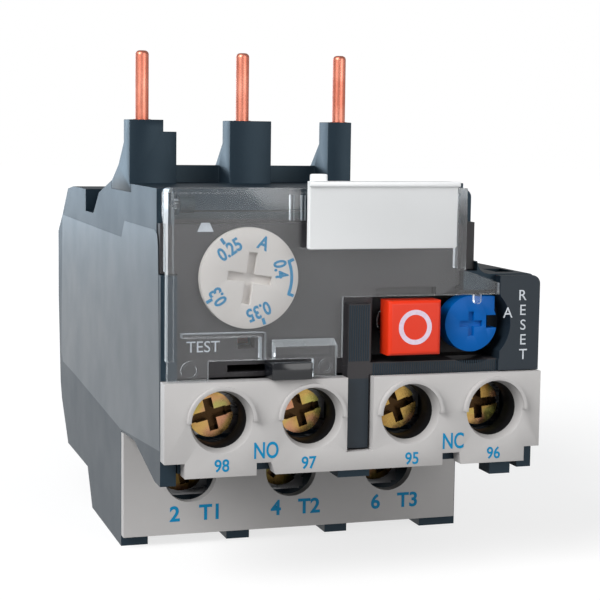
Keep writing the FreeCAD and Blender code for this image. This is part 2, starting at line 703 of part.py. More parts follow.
# ---------------------------------------------------------------- contact terminals
def aux_block():
    """Grey terminal block: plate, bosses, flared holes and raised hoods."""
    body = new_body("terminal_block")
    outline = [
        ("0", "aux_top"), ("0", "aux_step"), ("aux_corner", "aux_step"), ("aux_corner", "aux_bottom"),
        ("10.5", "aux_bottom"), ("10.5", "aux_step - 0.3"), ("12.2", "aux_step - 0.3"),
               ("12.7", "aux_bottom"),
        ("32.8", "aux_bottom"), ("32.8", "aux_step - 0.3"), ("34.9", "aux_step - 0.3"),
               ("35.1", "aux_bottom"),
        ("width - 1.9", "aux_bottom"), ("width - 1.9", "aux_step"), ("width", "aux_step"),
               ("width", "aux_top"),
        ("slot_right", "aux_top"), ("slot_right", "slot_floor"), ("slot_left", "slot_floor"),
        ("slot_left", "aux_top"),
    ]
    pad(body, "xz", ("0", "aux_plate"), [outline])
    left_boss = rectangle(("side_wall + fit", "slot_left - 0.2"), ("aux_step + 0.5", "aux_top - 0.2"))
    right_boss = rectangle(("slot_right + 0.2", "width - side_wall - fit"),
                           ("aux_step + 0.5", "aux_top - 0.2"))
    pad(body, "xz", ("aux_plate - 0.5", "aux_back"), [left_boss])
    pad(body, "xz", ("aux_plate - 0.5", "aux_back"), [right_boss])
    for i in range(4):
        add_hood(body, aux_x(i))
    bores = [(aux_x(i), "aux_axis", "aux_bore") for i in range(4)]
    pocket(body, "xz", ("-2", "aux_back + 1"), circles=bores)
    for i in range(4):
        add_mouth(body, aux_x(i))
    finish("aux_block", body)


def add_hood(body, centre):
    """Raised half ring over a hole."""
    drawing = body.newObject("Sketcher::SketchObject", body.Name + "_hood_outline")
    own_plane = [f for f in body.Origin.OriginFeatures if f.Role == "XZ_Plane"][0]
    drawing.AttachmentSupport = (own_plane, [""])
    drawing.MapMode = "FlatFace"
    bind(drawing, "AttachmentOffset.Base.z", "-0.5")
    middle = Vector(number(centre), number("aux_axis"), 0)
    for radius in (number("hood_radius"), number("aux_mouth")):
        circle = Part.Circle(middle, Vector(0, 0, 1), radius)
        drawing.addGeometry(Part.ArcOfCircle(circle, 0, math.pi), False)
    outer, inner = number("hood_radius"), number("aux_mouth")
    for side in (1, -1):
        start = Vector(middle.x + side * outer, middle.y, 0)
        end = Vector(middle.x + side * inner, middle.y, 0)
        drawing.addGeometry(Part.LineSegment(start, end), False)
    for line, end in ((2, 1), (3, 2)):
        drawing.addConstraint(Sketcher.Constraint("Coincident", line, 1, 0, end))
        drawing.addConstraint(Sketcher.Constraint("Coincident", line, 2, 1, end))
        drawing.addConstraint(Sketcher.Constraint("Horizontal", line))
    pin_point(drawing, 0, 3, centre, "aux_axis")
    drawing.addConstraint(Sketcher.Constraint("Coincident", 0, 3, 1, 3))
    for arc, size in ((0, "hood_radius"), (1, "aux_mouth")):
        tie = drawing.addConstraint(Sketcher.Constraint("Radius", arc, number(size)))
        bind(drawing, "Constraints[%d]" % tie, size)
    level = Sketcher.Constraint("DistanceY", 0, 3, 0, 1, 0.0)
    drawing.addConstraint(level)
    feature = body.newObject("PartDesign::Pad", body.Name + "_hood")
    feature.Profile = drawing
    bind(feature, "Length", "hood_proud + 0.5")
    return feature


def add_mouth(body, centre):
    """Flared mouth of a hole, cut by turning a triangle about the hole's axis."""
    drawing = body.newObject("Sketcher::SketchObject", body.Name + "_mouth_outline")
    own_plane = [f for f in body.Origin.OriginFeatures if f.Role == "XY_Plane"][0]
    drawing.AttachmentSupport = (own_plane, [""])
    drawing.MapMode = "FlatFace"
    bind(drawing, "AttachmentOffset.Base.z", "aux_axis")
    corners = [(centre, "-0.05"), ("%s + aux_mouth" % centre, "-0.05"),
               ("%s + aux_bore" % centre, "aux_plate"), (centre, "aux_plate")]
    add_outline(drawing, corners)
    document.recompute()
    before = body.Shape.Volume
    feature = body.newObject("PartDesign::Groove", body.Name + "_mouth")
    feature.Profile = drawing
    feature.ReferenceAxis = (drawing, ["Edge4"])
    feature.Angle = 360
    document.recompute()
    if body.Shape.Volume >= before:
        raise RuntimeError("a mouth of %s cuts nothing" % body.Name)
    return feature


def contact_base():
    """Black carrier behind the grey block with a chamber for each terminal."""
    body = new_body("terminal_base")
    block = rectangle(("side_wall + fit", "width - side_wall - fit"), ("aux_step + 0.4", "aux_top - 0.2"))
    pad(body, "xz", ("aux_back + seam", "11"), [block])
    shelf = rectangle(("side_wall + fit", "width - side_wall - fit"),
                      ("aux_bottom + 0.2", "aux_step + 0.4"))
    pad(body, "xz", ("aux_plate + seam", "11"), [shelf])
    lower_hooks = [("39.2", "41.8", "wall_low - 0.4"), ("20.4", "24.2", "aux_bottom - 1")]
    for low, high, bottom in lower_hooks:
        pad(body, "xz", ("1", "4"), [rectangle((low, high), (bottom, "aux_bottom - seam"))])
        pad(body, "xz", ("aux_plate + seam", "4"),
            [rectangle((low, high), ("aux_bottom - 0.2", "aux_bottom + 0.4"))])
    chambers = [rectangle(around(aux_x(i), "4.1"), ("aux_step + 1.6", "aux_top - 1.2")) for i in range(4)]
    pocket(body, "xz", ("aux_back", "10.2"), chambers)
    wire_ways = [rectangle(around(aux_x(i), "3.1"), ("5.6", "8.7")) for i in range(4)]
    pocket(body, "xy", ("aux_bottom - 1", "aux_step + 2"), wire_ways)
    shanks = [(aux_x(i), "aux_axis", "aux_thread_radius + 0.3") for i in range(4)]
    pocket(body, "xz", ("10", "12"), circles=shanks)
    tails = []
    for i in range(4):
        side = 1 if i % 2 == 0 else -1
        middle = "(%s + %d * 3)" % (aux_x(i), side)
        tails.append(rectangle(around(middle, "0.8"), ("aux_axis - 1.7", "aux_axis + 2.9")))
    pocket(body, "xz", ("10", "12"), tails)
    finish("contact_base", body)


def aux_screws():
    screws = [
        terminal_screw("aux_screw_%d" % i, aux_x(i), "aux_axis", "aux_head_front",
                       "aux_head_radius", "aux_thread_radius", "1.6", "12.4", turn)
        for i, turn in enumerate((-14, -16, -20, -6))
    ]
    finish("aux_screws", group("aux_screw_group", *screws))


def aux_washers():
    washers = []
    for i in range(4):
        name = "aux_washer_%d" % i
        plate = box(name + "_plate", around(aux_x(i), "3.6"),
                    ("aux_head_front + 1.7", "aux_head_front + 2.4"),
                    around("aux_axis", "2.6"))
        hole = rod(name + "_hole", "y", (aux_x(i), "aux_axis"),
                   ("aux_head_front + 1", "aux_head_front + 3"),
                   "aux_thread_radius + fit")
        washers.append(cut(name, plate, hole))
    finish("aux_washers", group("aux_washer_group", *washers))


def contact_terminal(index, number_mark):
    """Brass plate under a screw with a tail that ends in a fixed contact."""
    name = "terminal_%s" % number_mark
    centre = aux_x(index)
    side = 1 if index % 2 == 0 else -1
    middle = "(%s + %d * 3)" % (centre, side)
    plate = box(name + "_plate", around(centre, "3.6"), ("7.9", "8.9"), around("aux_axis", "2.8"))
    if index < 2:
        tail = box(name + "_tail", around(middle, "0.6"), ("8.4", "13.2"),
                   ("aux_axis + 1.1", "aux_axis + 2.6"))
    else:
        arm = box(name + "_arm", around(middle, "0.6"), ("8.4", "13.8"),
                  ("aux_axis - 1.4", "aux_axis + 0.1"))
        tip = box(name + "_tip", around(middle, "0.6"), ("12.95", "13.8"),
                  ("aux_axis - 1.4", "aux_axis + 2.6"))
        tail = fuse(name + "_tail", arm, tip)
    hole = rod(name + "_hole", "y", (centre, "aux_axis"), ("7", "10"), "aux_thread_radius + run")
    finish(name, cut(name, fuse(name + "_bent", plate, tail), hole))


# ---------------------------------------------------------------- upper front
def front_housing():
    """Upper front moulding: face, reset column, ledges and guide bores."""
    body = new_body("front_panel")
    face_low = "aux_top + seam"
    lower = rectangle(("side_wall + fit", "width - side_wall - fit"),
                      (face_low, "shelf_top - side_wall - fit"))
    pad(body, "xz", ("face", "panel_back"), [lower])
    upper = rectangle(("side_wall + fit", "upper_width - side_wall - fit"),
                      ("shelf_top - side_wall - 1", "inner_top - fit"))
    pad(body, "xz", ("upper_front + seam", "panel_back"), [upper])
    flange = rectangle(("seam", "upper_width - seam"), ("wall_split + seam", "channel_low"))
    pad(body, "xz", ("face", "upper_front - seam"), [flange])
    pad(body, "xz", ("face", "upper_front + 0.5"),
        [rectangle(("side_wall + fit", "upper_width - side_wall - fit"),
                   ("shelf_top - side_wall - 1", "channel_low"))])
    column = rectangle(("column_left", "width - 0.1"), (face_low, "shelf_top - 0.1"))
    pad(body, "xz", ("column_front", "wall_front - seam"), [column])
    soften(body, "shelf_round", along("y", ("width - 0.1", "shelf_top - 0.1")))
    pad(body, "xz", ("wall_front - 0.5", "face + 0.5"),
        [rectangle(("column_left", "width - side_wall - fit"), (face_low, "shelf_top - side_wall - fit"))])
    ledge = rectangle(("slot_left + 0.3", "column_left + 0.5"), (face_low, "ledge_top"))
    pad(body, "xz", ("ledge_front", "face + 0.5"), [ledge])
    bar = rectangle(("slot_left + 0.3", "slot_right - 0.1"), (face_low, "window_top - 0.8"))
    pad(body, "xz", ("ledge_front", "face + 0.5"), [bar])
    tongue = rectangle(("slot_left + 0.25", "slot_right - 0.25"), ("slot_floor + 0.2", "aux_top + 1"))
    pad(body, "xz", ("ledge_front", "face"), [tongue])
    # ears with the hinge holes of the clear cover
    for low, high in (("side_wall + fit", "side_wall + 1.8"),
                      ("glass_right - glass_rim - 2.1", "glass_right - glass_rim - 0.3")):
        pad(body, "yz", (low, high),
            [rectangle(("hinge_y", "upper_front - seam"), ("hinge_z - ear_radius", "hinge_z - 0.1"))])
        pad(body, "yz", (low, high),
            [rectangle(("hinge_y", "upper_front + 0.6"), ("inner_top - 0.5", "inner_top - fit"))])
        pad(body, "yz", (low, high), circles=[("hinge_y", "hinge_z", "ear_radius")])
    pocket(body, "yz", ("glass_left + glass_rim", "side_wall + 2"),
           circles=[("hinge_y", "hinge_z", "peg_radius + run")])
    pocket(body, "yz", ("glass_right - glass_rim - 2.2", "glass_right - glass_rim"),
           circles=[("hinge_y", "hinge_z", "peg_radius + run")])
    # lug that holds the foot of the lever's pivot pin
    lug = rectangle(around("lever_x", "1.4"), ("panel_back - 0.5", "lever_y + 1.6"))
    pad(body, "xy", ("lug_low", "lug_high"), [lug])
    pocket(body, "xy", ("lug_low - 1", "lug_high + 1"), circles=[("lever_x", "lever_y", "lever_pin + run")])
    # button window
    pocket(body, "xz", ("0", "window_floor"),
           [rectangle(("window_left", "column_left + seam"), ("ledge_top", "window_top"))])
    pocket(body, "xz", ("0", "knob_front + knob_thick + 0.4"),
           circles=[("reset_x", "reset_z", "knob_sweep")])
    pocket(body, "xz", ("window_floor - 1", "panel_back + 1"),
           circles=[("stop_x", "stop_z", "stem_radius + run"), ("reset_x", "reset_z", "reset_stem + run")])
    pocket(body, "xz", ("face - 1", "panel_back + 1"), circles=[("dial_x", "dial_z", "dial_stem + run")])
    # shallow recess above the stop button
    pocket(body, "xz", ("face - 1", "face + 1.2"),
           [rectangle(around("stop_x", "3.7"), ("window_top - 0.1", "window_top + 0.85"))])
    # flag window with a relief behind it
    pocket(body, "xz", ("face - 1", "panel_back"),
           [rectangle(("flag_x", "flag_x + flag_wide"), ("flag_z", "flag_z + flag_high"))])
    pocket(body, "xz", ("face + 1.5", "panel_back + 1"),
           [rectangle(("flag_x - 3", "flag_x + flag_wide + 2.6"),
                      ("flag_z - 0.5", "flag_z + flag_high + 0.5"))])
    # guide slot of the test slide
    pocket(body, "xz", ("face - 1", "panel_back + 1"),
           [rectangle(("tab_left - test_travel - 0.2", "tab_right - 1"),
                      ("tab_low + 0.55", "tab_low + 1.35"))])
    finish("front_housing", body)


def clear_cover():
    """Transparent cover: front, rims, hinge pegs and sealing arm."""
    body = new_body("clear_front")
    outline = [
        ("glass_left", "glass_top"), ("glass_left", "glass_low"), ("glass_left + 4.6", "glass_low"),
        ("glass_left + 4.6", "glass_step"), ("17.1", "glass_step"), ("17.1", "glass_low"),
        ("19.8", "glass_low"), ("19.8", "glass_step"), ("glass_notch", "glass_step"),
        ("glass_notch", "glass_lip"), ("column_left - 0.25", "glass_lip"),
               ("column_left - 0.25", "glass_lip + 1.3"),
        ("glass_right", "glass_lip + 2.8"), ("glass_right", "glass_top"),
    ]
    pad(body, "xz", ("glass_front", "glass_front + glass"), [outline])
    roof = rectangle(("glass_left", "glass_right"), ("glass_top - 0.6", "glass_top"))
    pad(body, "xz", ("glass_front", "hinge_y"), [roof])
    ear_side = [("glass_front", "glass_top"), ("hinge_y", "glass_top"), ("hinge_y + 1.1", "hinge_z + 1.2"),
                ("hinge_y + 1.1", "hinge_z - 1.2"), ("face - 0.3", "channel_low - 0.3"),
                ("face - 0.3", "wall_split + 0.4")]
    side = [("glass_front", "glass_step")] + ear_side + [
        ("wall_front - 0.3", "wall_split + 0.4"), ("wall_front - 0.3", "glass_step")]
    pad(body, "yz", ("glass_left", "glass_left + glass_rim"), [side])
    side_right = [("glass_front", "wall_split + 0.4")] + ear_side
    pad(body, "yz", ("glass_right - glass_rim", "glass_right"), [side_right])
    for low, high in (("glass_left + glass_rim - 0.1", "side_wall + 1.7"),
                      ("glass_right - glass_rim - 1.7", "glass_right - glass_rim + 0.1")):
        pad(body, "yz", (low, high), circles=[("hinge_y", "hinge_z", "peg_radius")])
    # webs that box in the dial and the test window
    inside = ("glass_front + glass - 0.1", "face - 0.3")
    web_top = "dial_z - dial_radius - web_gap"
    pad(body, "xz", inside, [rectangle(("side_wall + 0.4", "web_right"), (web_top + " - 0.45", web_top))])
    pad(body, "xz", inside, [rectangle(("web_right - 0.5", "web_right"), ("glass_step", web_top + " - 0.1"))])
    # bevelled finger grip between the feet
    grip = [("glass_front + 0.1", "grip_top"), ("grip_front", "grip_top - 0.7"),
            ("grip_front", "glass_step + 0.3"),
            ("glass_front + 0.1", "glass_step + 0.05")]
    pad(body, "yz", ("web_right + 0.5", "19.4"), [grip])
    # raised rings on the feet
    for across, outer in (("2.85", "1"), ("18.45", "0.8")):
        pad(body, "xz", ("glass_front - 0.15", "glass_front + 0.1"),
            circles=[(across, "glass_low + 1.2", outer), (across, "glass_low + 1.2", outer + " - 0.25")])
    # ribs that hold the marker tag, and the sealing peg
    for low in ("tag_left - 1.4", "tag_left - 0.1"):
        pad(body, "xz", ("glass_front + glass - 0.1", "glass_front + glass + 0.8"),
            [rectangle((low, low + " + 0.4"), ("channel_low + 0.4", "glass_top - 0.8"))])
    pad(body, "xz", ("glass_front", "glass_front + 0.6"),
        [rectangle(("peg_x - 0.45", "peg_x + 0.45"), ("glass_lip - 1.1", "glass_lip + 0.1"))])
    soften(body, "0.4",
           along("y", ("peg_x - 0.45", "glass_lip - 1.1"), ("peg_x + 0.45", "glass_lip - 1.1")))
    soften(body, "0.5", along("y", ("glass_left", "glass_top")))
    finish("clear_cover", body)


def marker_tag():
    """White tag clipped to the top of the clear cover."""
    plate = box("tag_plate", ("tag_left", "tag_right"), ("tag_front + 0.3", "tag_front + tag_thick"),
                ("tag_low", "tag_high"))
    lip = box("tag_lip", ("tag_left", "tag_right + 0.3"), ("tag_front", "tag_front + tag_thick"),
              ("tag_high - 0.6", "tag_high"))
    foot = box("tag_foot", ("tag_left + 0.3", "tag_right - 0.3"),
               ("tag_front + tag_thick - 0.1", "glass_front"),
               ("glass_top - 1.6", "tag_high"))
    bump = box("tag_bump", ("tag_left + 0.3", "tag_left + 2.1"), ("tag_front + 0.2", "tag_front + 1.2"),
               ("tag_high - 0.5", "tag_high + 0.8"))
    finish("marker_tag", fuse("tag", plate, lip, foot, bump))


# ---------------------------------------------------------------- controls
def current_dial():
    """Setting dial with its cross slot, stem and setting cam."""
    centre = ("dial_x", "dial_z")
    disc = rod("dial_disc", "y", centre, ("dial_front", "dial_front + dial_thick"), "dial_radius")
    stem = rod("dial_stem_rod", "y", centre, ("dial_front + dial_thick - 0.2", "panel_back + 0.4"),
               "dial_stem")
    cam = rod("dial_cam", "y", ("dial_x + cam_throw", "dial_z"),
              ("panel_back + 0.3", "panel_back + 2.3"), "cam_radius")
    recess = cross_recess("dial_recess", "dial_x", "dial_z", "dial_front", "2.45", "0.45", "0.7")
    finish("current_dial", cut("dial", fuse("dial_blank", disc, stem, cam), recess))


def stop_button():
    body = new_body("stop_cap")
    cap = rectangle(around("stop_x", "stop_wide / 2"), around("stop_z", "stop_high / 2"))
    pad(body, "xz", ("stop_front", "stop_front + stop_cap"), [cap])
    pad(body, "xz", ("stop_front + stop_cap - 0.2", "panel_back + 2.6"),
        circles=[("stop_x", "stop_z", "stem_radius")])
    front = number("stop_front")
    soften(body, "0.5", lambda edge, ends: all(abs(p.y - front) < 0.01 for p in ends))
    finish("stop_button", body)


def reset_plunger():
    spot = ("reset_x", "reset_z")
    stem = rod("plunger_stem", "y", spot, ("knob_front + 0.8", "panel_back + 2.6"), "reset_stem")
    collar = rod("plunger_collar", "y", spot,
                 ("knob_front + knob_thick + 0.1", "knob_front + knob_thick + 0.7"), "2.4")
    finish("reset_plunger", fuse("plunger", stem, collar))


def reset_knob():
    """Blue knob that turns on the plunger between hand and automatic reset."""
    spot = ("reset_x", "reset_z")
    disc = rod("knob_disc", "y", spot, ("knob_front", "knob_front + knob_thick"), "knob_radius")
    wing = box("knob_wing", ("reset_x", "reset_x + 2.9"), ("knob_front", "knob_front + knob_thick"),
               ("reset_z + 1.2", "reset_z + 3.15"))
    bore = rod("knob_bore", "y", spot, ("knob_front + 0.7", "knob_front + knob_thick + 1"),
               "reset_stem + run")
    notch = box("knob_notch", ("reset_x + 1.9", "reset_x + 4"),
                ("knob_front - 1", "knob_front + knob_thick + 1"),
                ("reset_z - 0.55", "reset_z + 0.95"))
    recess = cross_recess("knob_recess", "reset_x", "reset_z", "knob_front", "1.4", "0.35", "0.4")
    finish("reset_knob", cut("knob", fuse("knob_blank", disc, wing), bore, notch, recess))


def coil_spring(label, name, across, span, radius, turns):
    """Compression spring along Y: a four-sided wire swept along a helix."""
    helix = document.addObject("Part::Helix", name + "_path")
    bind(helix, "Radius", radius)
    bind(helix, "Height", "(%s) - (%s) - 2 * spring_wire" % (span[1], span[0]))
    bind(helix, "Pitch", "((%s) - (%s) - 2 * spring_wire) / %d" % (span[1], span[0], turns))
    profile = document.addObject("Part::RegularPolygon", name + "_wire")
    profile.Polygon = 4
    bind(profile, "Circumradius", "spring_wire / 2")
    profile.Placement.Rotation = Rotation(Vector(1, 0, 0), 90)
    bind(profile, "Placement.Base.x", radius)
    document.recompute()
    coil = document.addObject("Part::Sweep", name)
    coil.Sections = [profile]
    coil.Spine = (helix, ["Edge%d" % (i + 1) for i in range(len(helix.Shape.Edges))])
    coil.Solid = True
    coil.Frenet = True
    coil.Placement.Rotation = TURNS["y"]
    bind_corner(coil, across[0], "(%s) + spring_wire" % span[0], across[1])
    finish(label, coil)


def test_slide():
    """Slide with an outside tab, a web through the face and a foot behind it."""
    tab = box("slide_tab", ("tab_left", "tab_right"), ("tab_front", "face - 0.3"), ("tab_low", "tab_high"))
    web = box("slide_web", ("tab_left + 0.3", "tab_right - 1.6"), ("face - 0.4", "panel_back + 0.4"),
              ("tab_low + 0.7", "tab_low + 1.2"))
    foot = box("slide_foot", ("tab_left - 0.2", "tab_right - 1"), ("panel_back + 0.3", "panel_back + 1.3"),
               ("tab_low + 0.3", "tab_low + 2.2"))
    finish("test_slide", fuse("slide", tab, web, foot))


# ---------------------------------------------------------------- trip mechanism
def trip_slider():
    """Bar that the strips push sideways, with its arm to the mechanism."""
    bar = box("slider_bar", ("4.2", "37.5"), ("slider_y", "slider_y + slider_thick"),
              ("strip_tip - 3.2", "strip_tip - 0.2"))
    fingers = [
        box("slider_finger_%d" % i,
            ("%s + strip_half + 0.3" % pole_x(i), "%s + strip_half + 1.3" % pole_x(i)),
            ("strip_front + 1", "slider_y + 0.2"), ("strip_tip - 1.6", "strip_tip - 0.2"))
        for i in range(3)
    ]
    arm = box("slider_arm", ("lever_x - 3.3", "lever_x - 2.1"), ("lever_y + 4", "slider_y + 0.2"),
              ("36.9", "38.3"))
    finish("trip_slider", fuse("slider", bar, arm, *fingers))


def differential_slider():
    """Second bar, which stays back when one pole carries no current."""
    back = "slider_y + slider_thick + 0.3"
    bar = box("differential_bar", ("4.2", "37.5"), (back, back + " + slider_thick"),
              ("strip_tip - 3.2", "strip_tip - 0.2"))
    fingers = []
    for i in range(3):
        name = "differential_finger_%d" % i
        low = "%s - strip_half - 2.9" % pole_x(i)
        high = "%s - strip_half - 1.9" % pole_x(i)
        over = box(name + "_over", (low, high), ("slider_y - 0.8", back + " + 0.2"),
                   ("strip_tip - 0.05", "strip_tip + 0.8"))
        riser = box(name + "_riser", (low, high), (back, back + " + slider_thick"),
                    ("strip_tip - 0.4", "strip_tip + 0.8"))
        down = box(name + "_down", (low, high), ("strip_front + 1", "slider_y - 0.3"),
                   ("strip_tip - 1.6", "strip_tip + 0.8"))
        fingers += [over, riser, down]
    finish("differential_slider", fuse("differential", bar, *fingers))


def lever_pivot():
    pin = rod("lever_pin_rod", "z", ("lever_x", "lever_y"), ("lug_low", "inner_top"), "lever_pin")
    finish("lever_pivot", pin)


def compensation_lever():
    """Hub on the pivot pin with an arm towards the setting cam."""
    spot = ("lever_x", "lever_y")
    hub = rod("lever_hub", "z", spot, ("31", "39.5"), "1.7")
    arm = box("lever_arm", ("lever_x - 9", "lever_x"), ("lever_y - 0.6", "lever_y + 0.6"), ("33", "36"))
    tab = box("lever_tab", ("lever_x - 1.1", "lever_x - 0.1"), ("lever_y + 1", "lever_y + 2.8"),
              ("34.5", "38.3"))
    bore = rod("lever_bore", "z", spot, ("30", "41"), "lever_pin + run")
    finish("compensation_lever", cut("lever", fuse("lever_blank", hub, arm, tab), bore))


def compensation_strip():
    """Bimetal on the lever that corrects for room temperature."""
    strip = box("room_strip", ("lever_x - 1.7", "lever_x - 1.1"),
                ("lever_y + 1.6", "lever_y + 5.4"), ("34.5", "38.3"))
    finish("compensation_strip", strip)


def contact_carrier():
    bar = box("carrier_bar", ("9", "38"), ("carrier_y", "carrier_y + 1.6"),
              ("aux_axis - 0.5", "aux_axis + 4"))
    arm = box("carrier_arm", ("33.3", "34.7"), ("12.6", "carrier_y + 0.2"),
              ("aux_axis + 0.7", "aux_axis + 2.6"))
    stub = box("carrier_stub", ("11", "12.4"), ("14.8", "carrier_y + 0.2"),
               ("aux_axis + 0.7", "aux_axis + 2.6"))
    finish("contact_carrier", fuse("carrier", bar, arm, stub))


def contact_bridges():
    opener = box("bridge_nc", ("31.2", "36.8"), ("12.2", "12.6"), ("aux_axis + 0.8", "aux_axis + 2.6"))
    finish("nc_bridge", opener)
    closer = box("bridge_no", ("9", "14.4"), ("14.4", "14.8"), ("aux_axis + 0.8", "aux_axis + 2.6"))
    finish("no_bridge", closer)


def trip_flag():
    tip = box("flag_tip", ("flag_x - 2.4", "flag_x + 0.4"), ("face + 1.9", "face + 2.7"),
              ("flag_z - 0.3", "flag_z + flag_high + 0.3"))
    stalk = box("flag_stalk", ("flag_x - 2.4", "flag_x - 1.4"), ("face + 2.6", "panel_back + 1.6"),
                ("flag_z - 0.3", "flag_z + flag_high + 0.3"))
    foot = box("flag_foot", ("flag_x - 2.4", "flag_x + 3"), ("panel_back + 0.6", "panel_back + 1.6"),
               ("flag_z - 0.3", "flag_z + 2.6"))
    finish("trip_flag", fuse("flag", tip, stalk, foot))


# ---------------------------------------------------------------- assembly
main_housing()
pin_block()
for pole in range(3):
    load_pin(pole)
    input_lead(pole)
    heater_winding(pole)
    bimetal_strip(pole)
    output_bar(pole)
power_screws()
power_washers()
power_cover()
aux_block()
contact_base()
aux_screws()
aux_washers()
for place, mark in enumerate(("98", "97", "95", "96")):
    contact_terminal(place, mark)
front_housing()
clear_cover()
marker_tag()
current_dial()
stop_button()
coil_spring("stop_spring", "stop_coil", ("stop_x", "stop_z"), ("stop_front + stop_cap", "window_floor"),
            "stem_radius + 0.45", 3)
reset_plunger()
reset_knob()
coil_spring("reset_spring", "reset_coil", ("reset_x", "reset_z"),
            ("knob_front + knob_thick + 0.7", "window_floor"), "reset_stem + 0.45", 3)
test_slide()
trip_slider()
differential_slider()
lever_pivot()
compensation_lever()
compensation_strip()
contact_carrier()
contact_bridges()
trip_flag()
document.recompute()

# ---------------------------------------------------------------- checks and export
for item in document.Objects:
    if "Invalid" in item.State or "Error" in item.State:
        raise RuntimeError("%s did not build: %s" % (item.Name, item.State))
os.makedirs("parts", exist_ok=True)
for piece in FINISHED:
    if piece.Shape.isNull() or not piece.Shape.isValid():
        raise RuntimeError("%s has no valid shape" % piece.Label)
    piece.Shape.exportStep(os.path.join("parts", piece.Label + ".step"))
print(len(FINISHED), "pieces written")
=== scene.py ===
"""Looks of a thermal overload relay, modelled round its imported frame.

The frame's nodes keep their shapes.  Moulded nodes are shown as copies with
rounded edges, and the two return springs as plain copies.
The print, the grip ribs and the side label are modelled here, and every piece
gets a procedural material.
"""
import json
import math
import bpy
from bpy.props import FloatProperty, FloatVectorProperty, PointerProperty
from mathutils import Matrix, Vector

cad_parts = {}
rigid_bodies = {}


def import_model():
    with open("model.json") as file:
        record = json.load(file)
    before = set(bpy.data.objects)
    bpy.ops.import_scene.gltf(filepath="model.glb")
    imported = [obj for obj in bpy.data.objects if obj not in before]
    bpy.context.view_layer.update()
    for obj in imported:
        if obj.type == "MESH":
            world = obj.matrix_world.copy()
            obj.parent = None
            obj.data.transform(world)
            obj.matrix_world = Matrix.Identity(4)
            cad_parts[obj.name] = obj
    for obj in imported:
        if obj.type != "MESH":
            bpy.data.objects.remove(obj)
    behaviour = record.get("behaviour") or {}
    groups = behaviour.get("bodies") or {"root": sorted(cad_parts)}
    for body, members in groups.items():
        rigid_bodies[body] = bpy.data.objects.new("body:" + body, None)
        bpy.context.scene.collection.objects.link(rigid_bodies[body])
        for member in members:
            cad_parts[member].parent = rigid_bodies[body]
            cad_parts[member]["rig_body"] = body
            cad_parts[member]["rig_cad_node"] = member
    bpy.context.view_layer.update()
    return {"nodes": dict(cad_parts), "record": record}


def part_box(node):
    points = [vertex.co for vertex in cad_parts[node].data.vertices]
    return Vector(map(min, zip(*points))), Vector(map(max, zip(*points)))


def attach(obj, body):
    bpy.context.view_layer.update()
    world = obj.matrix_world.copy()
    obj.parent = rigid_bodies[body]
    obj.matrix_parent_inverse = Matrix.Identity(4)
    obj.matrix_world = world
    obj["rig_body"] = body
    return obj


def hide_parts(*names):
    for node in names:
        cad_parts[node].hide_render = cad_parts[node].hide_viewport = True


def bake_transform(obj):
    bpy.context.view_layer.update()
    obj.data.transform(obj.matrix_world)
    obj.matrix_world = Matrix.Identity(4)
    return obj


bl_info = {
    "name": "Thermal overload relay",
    "version": (1, 0, 0),
    "blender": (4, 5, 0),
    "location": "3D View > Sidebar > Relay",
    "description": "Models the looks of a thermal overload relay round its frame",
    "category": "Add Mesh",
}

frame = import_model()
NODES = frame["nodes"]
MM = 0.001

# The relay's left edge, the face of its grey terminal block and its feet.
HOOD_PROUD = 0.6 * MM  # how far the hoods stand out of that face
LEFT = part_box("main_housing")[0].x
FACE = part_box("aux_block")[0].y + HOOD_PROUD
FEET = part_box("main_housing")[0].z


def spot(across, back, up):
    """A place on the relay: mm from its left edge, behind the block's face and above its feet."""
    return Vector((LEFT + across * MM, FACE + back * MM, FEET + up * MM))


def linear(red, green, blue):
    """A colour as a painter names it, 0 to 255, turned into light."""
    def light(value):
        value /= 255
        return value / 12.92 if value <= 0.04045 else ((value + 0.055) / 1.055) ** 2.4
    return light(red), light(green), light(blue)


# ------------------------------------------------------------------ places, in mm as spot takes them
FACE_BACK = 2.9  # the face behind the clear cover
COLUMN_FRONT = 0.6  # the reset column
COLUMN_LEFT = 39.7
LEDGE_FRONT = 1.0  # the ribbed bar and ledge round the buttons
FACE_LOW = 24.0  # under here the face moulding is dark
# painted shade: the face above BAND_LOW is darkened to a dark teal
BAND_LOW = 42.0  # above here lies the shaded band under the cover's top
WELL_AXES = (6.45, 16.95, 28.74, 39.24)  # the grey block's four screw wells
WELL_HEIGHT = 19.9
WELL_MOUTH = 1.1  # depth of the flared grey mouth
WELL_RADIUS = 3.12
LOWER_COVER_FRONT = 23
RIB_PITCH, RIB_WIDE, RIB_PROUD = 0.28, 0.14, 0.05
SIDE_LABEL = (  # outline of (behind the block's face, above the feet)
    (2.1, 16.5), (25, 14.8), (60, 16.4), (70.6, 16.7), (72.1, 18.0), (70.5, 39), (24.3, 38.7), (22.4, 40.8),
    (5.1, 40.8), (3.9, 40.4), (3.4, 39.2))
INDEX_MARK = ((4.2, 40.7), (6.05, 40.7), (5.6, 41.7), (4.65, 41.7))
SLOT_TURN = 8.5  # degrees the dial's slot stands clockwise


# ------------------------------------------------------------------ settings
def colour_setting(name, words, tone):
    return FloatVectorProperty(name=name, description=words, default=linear(*tone), subtype="COLOR",
                               min=0, max=1, size=3)


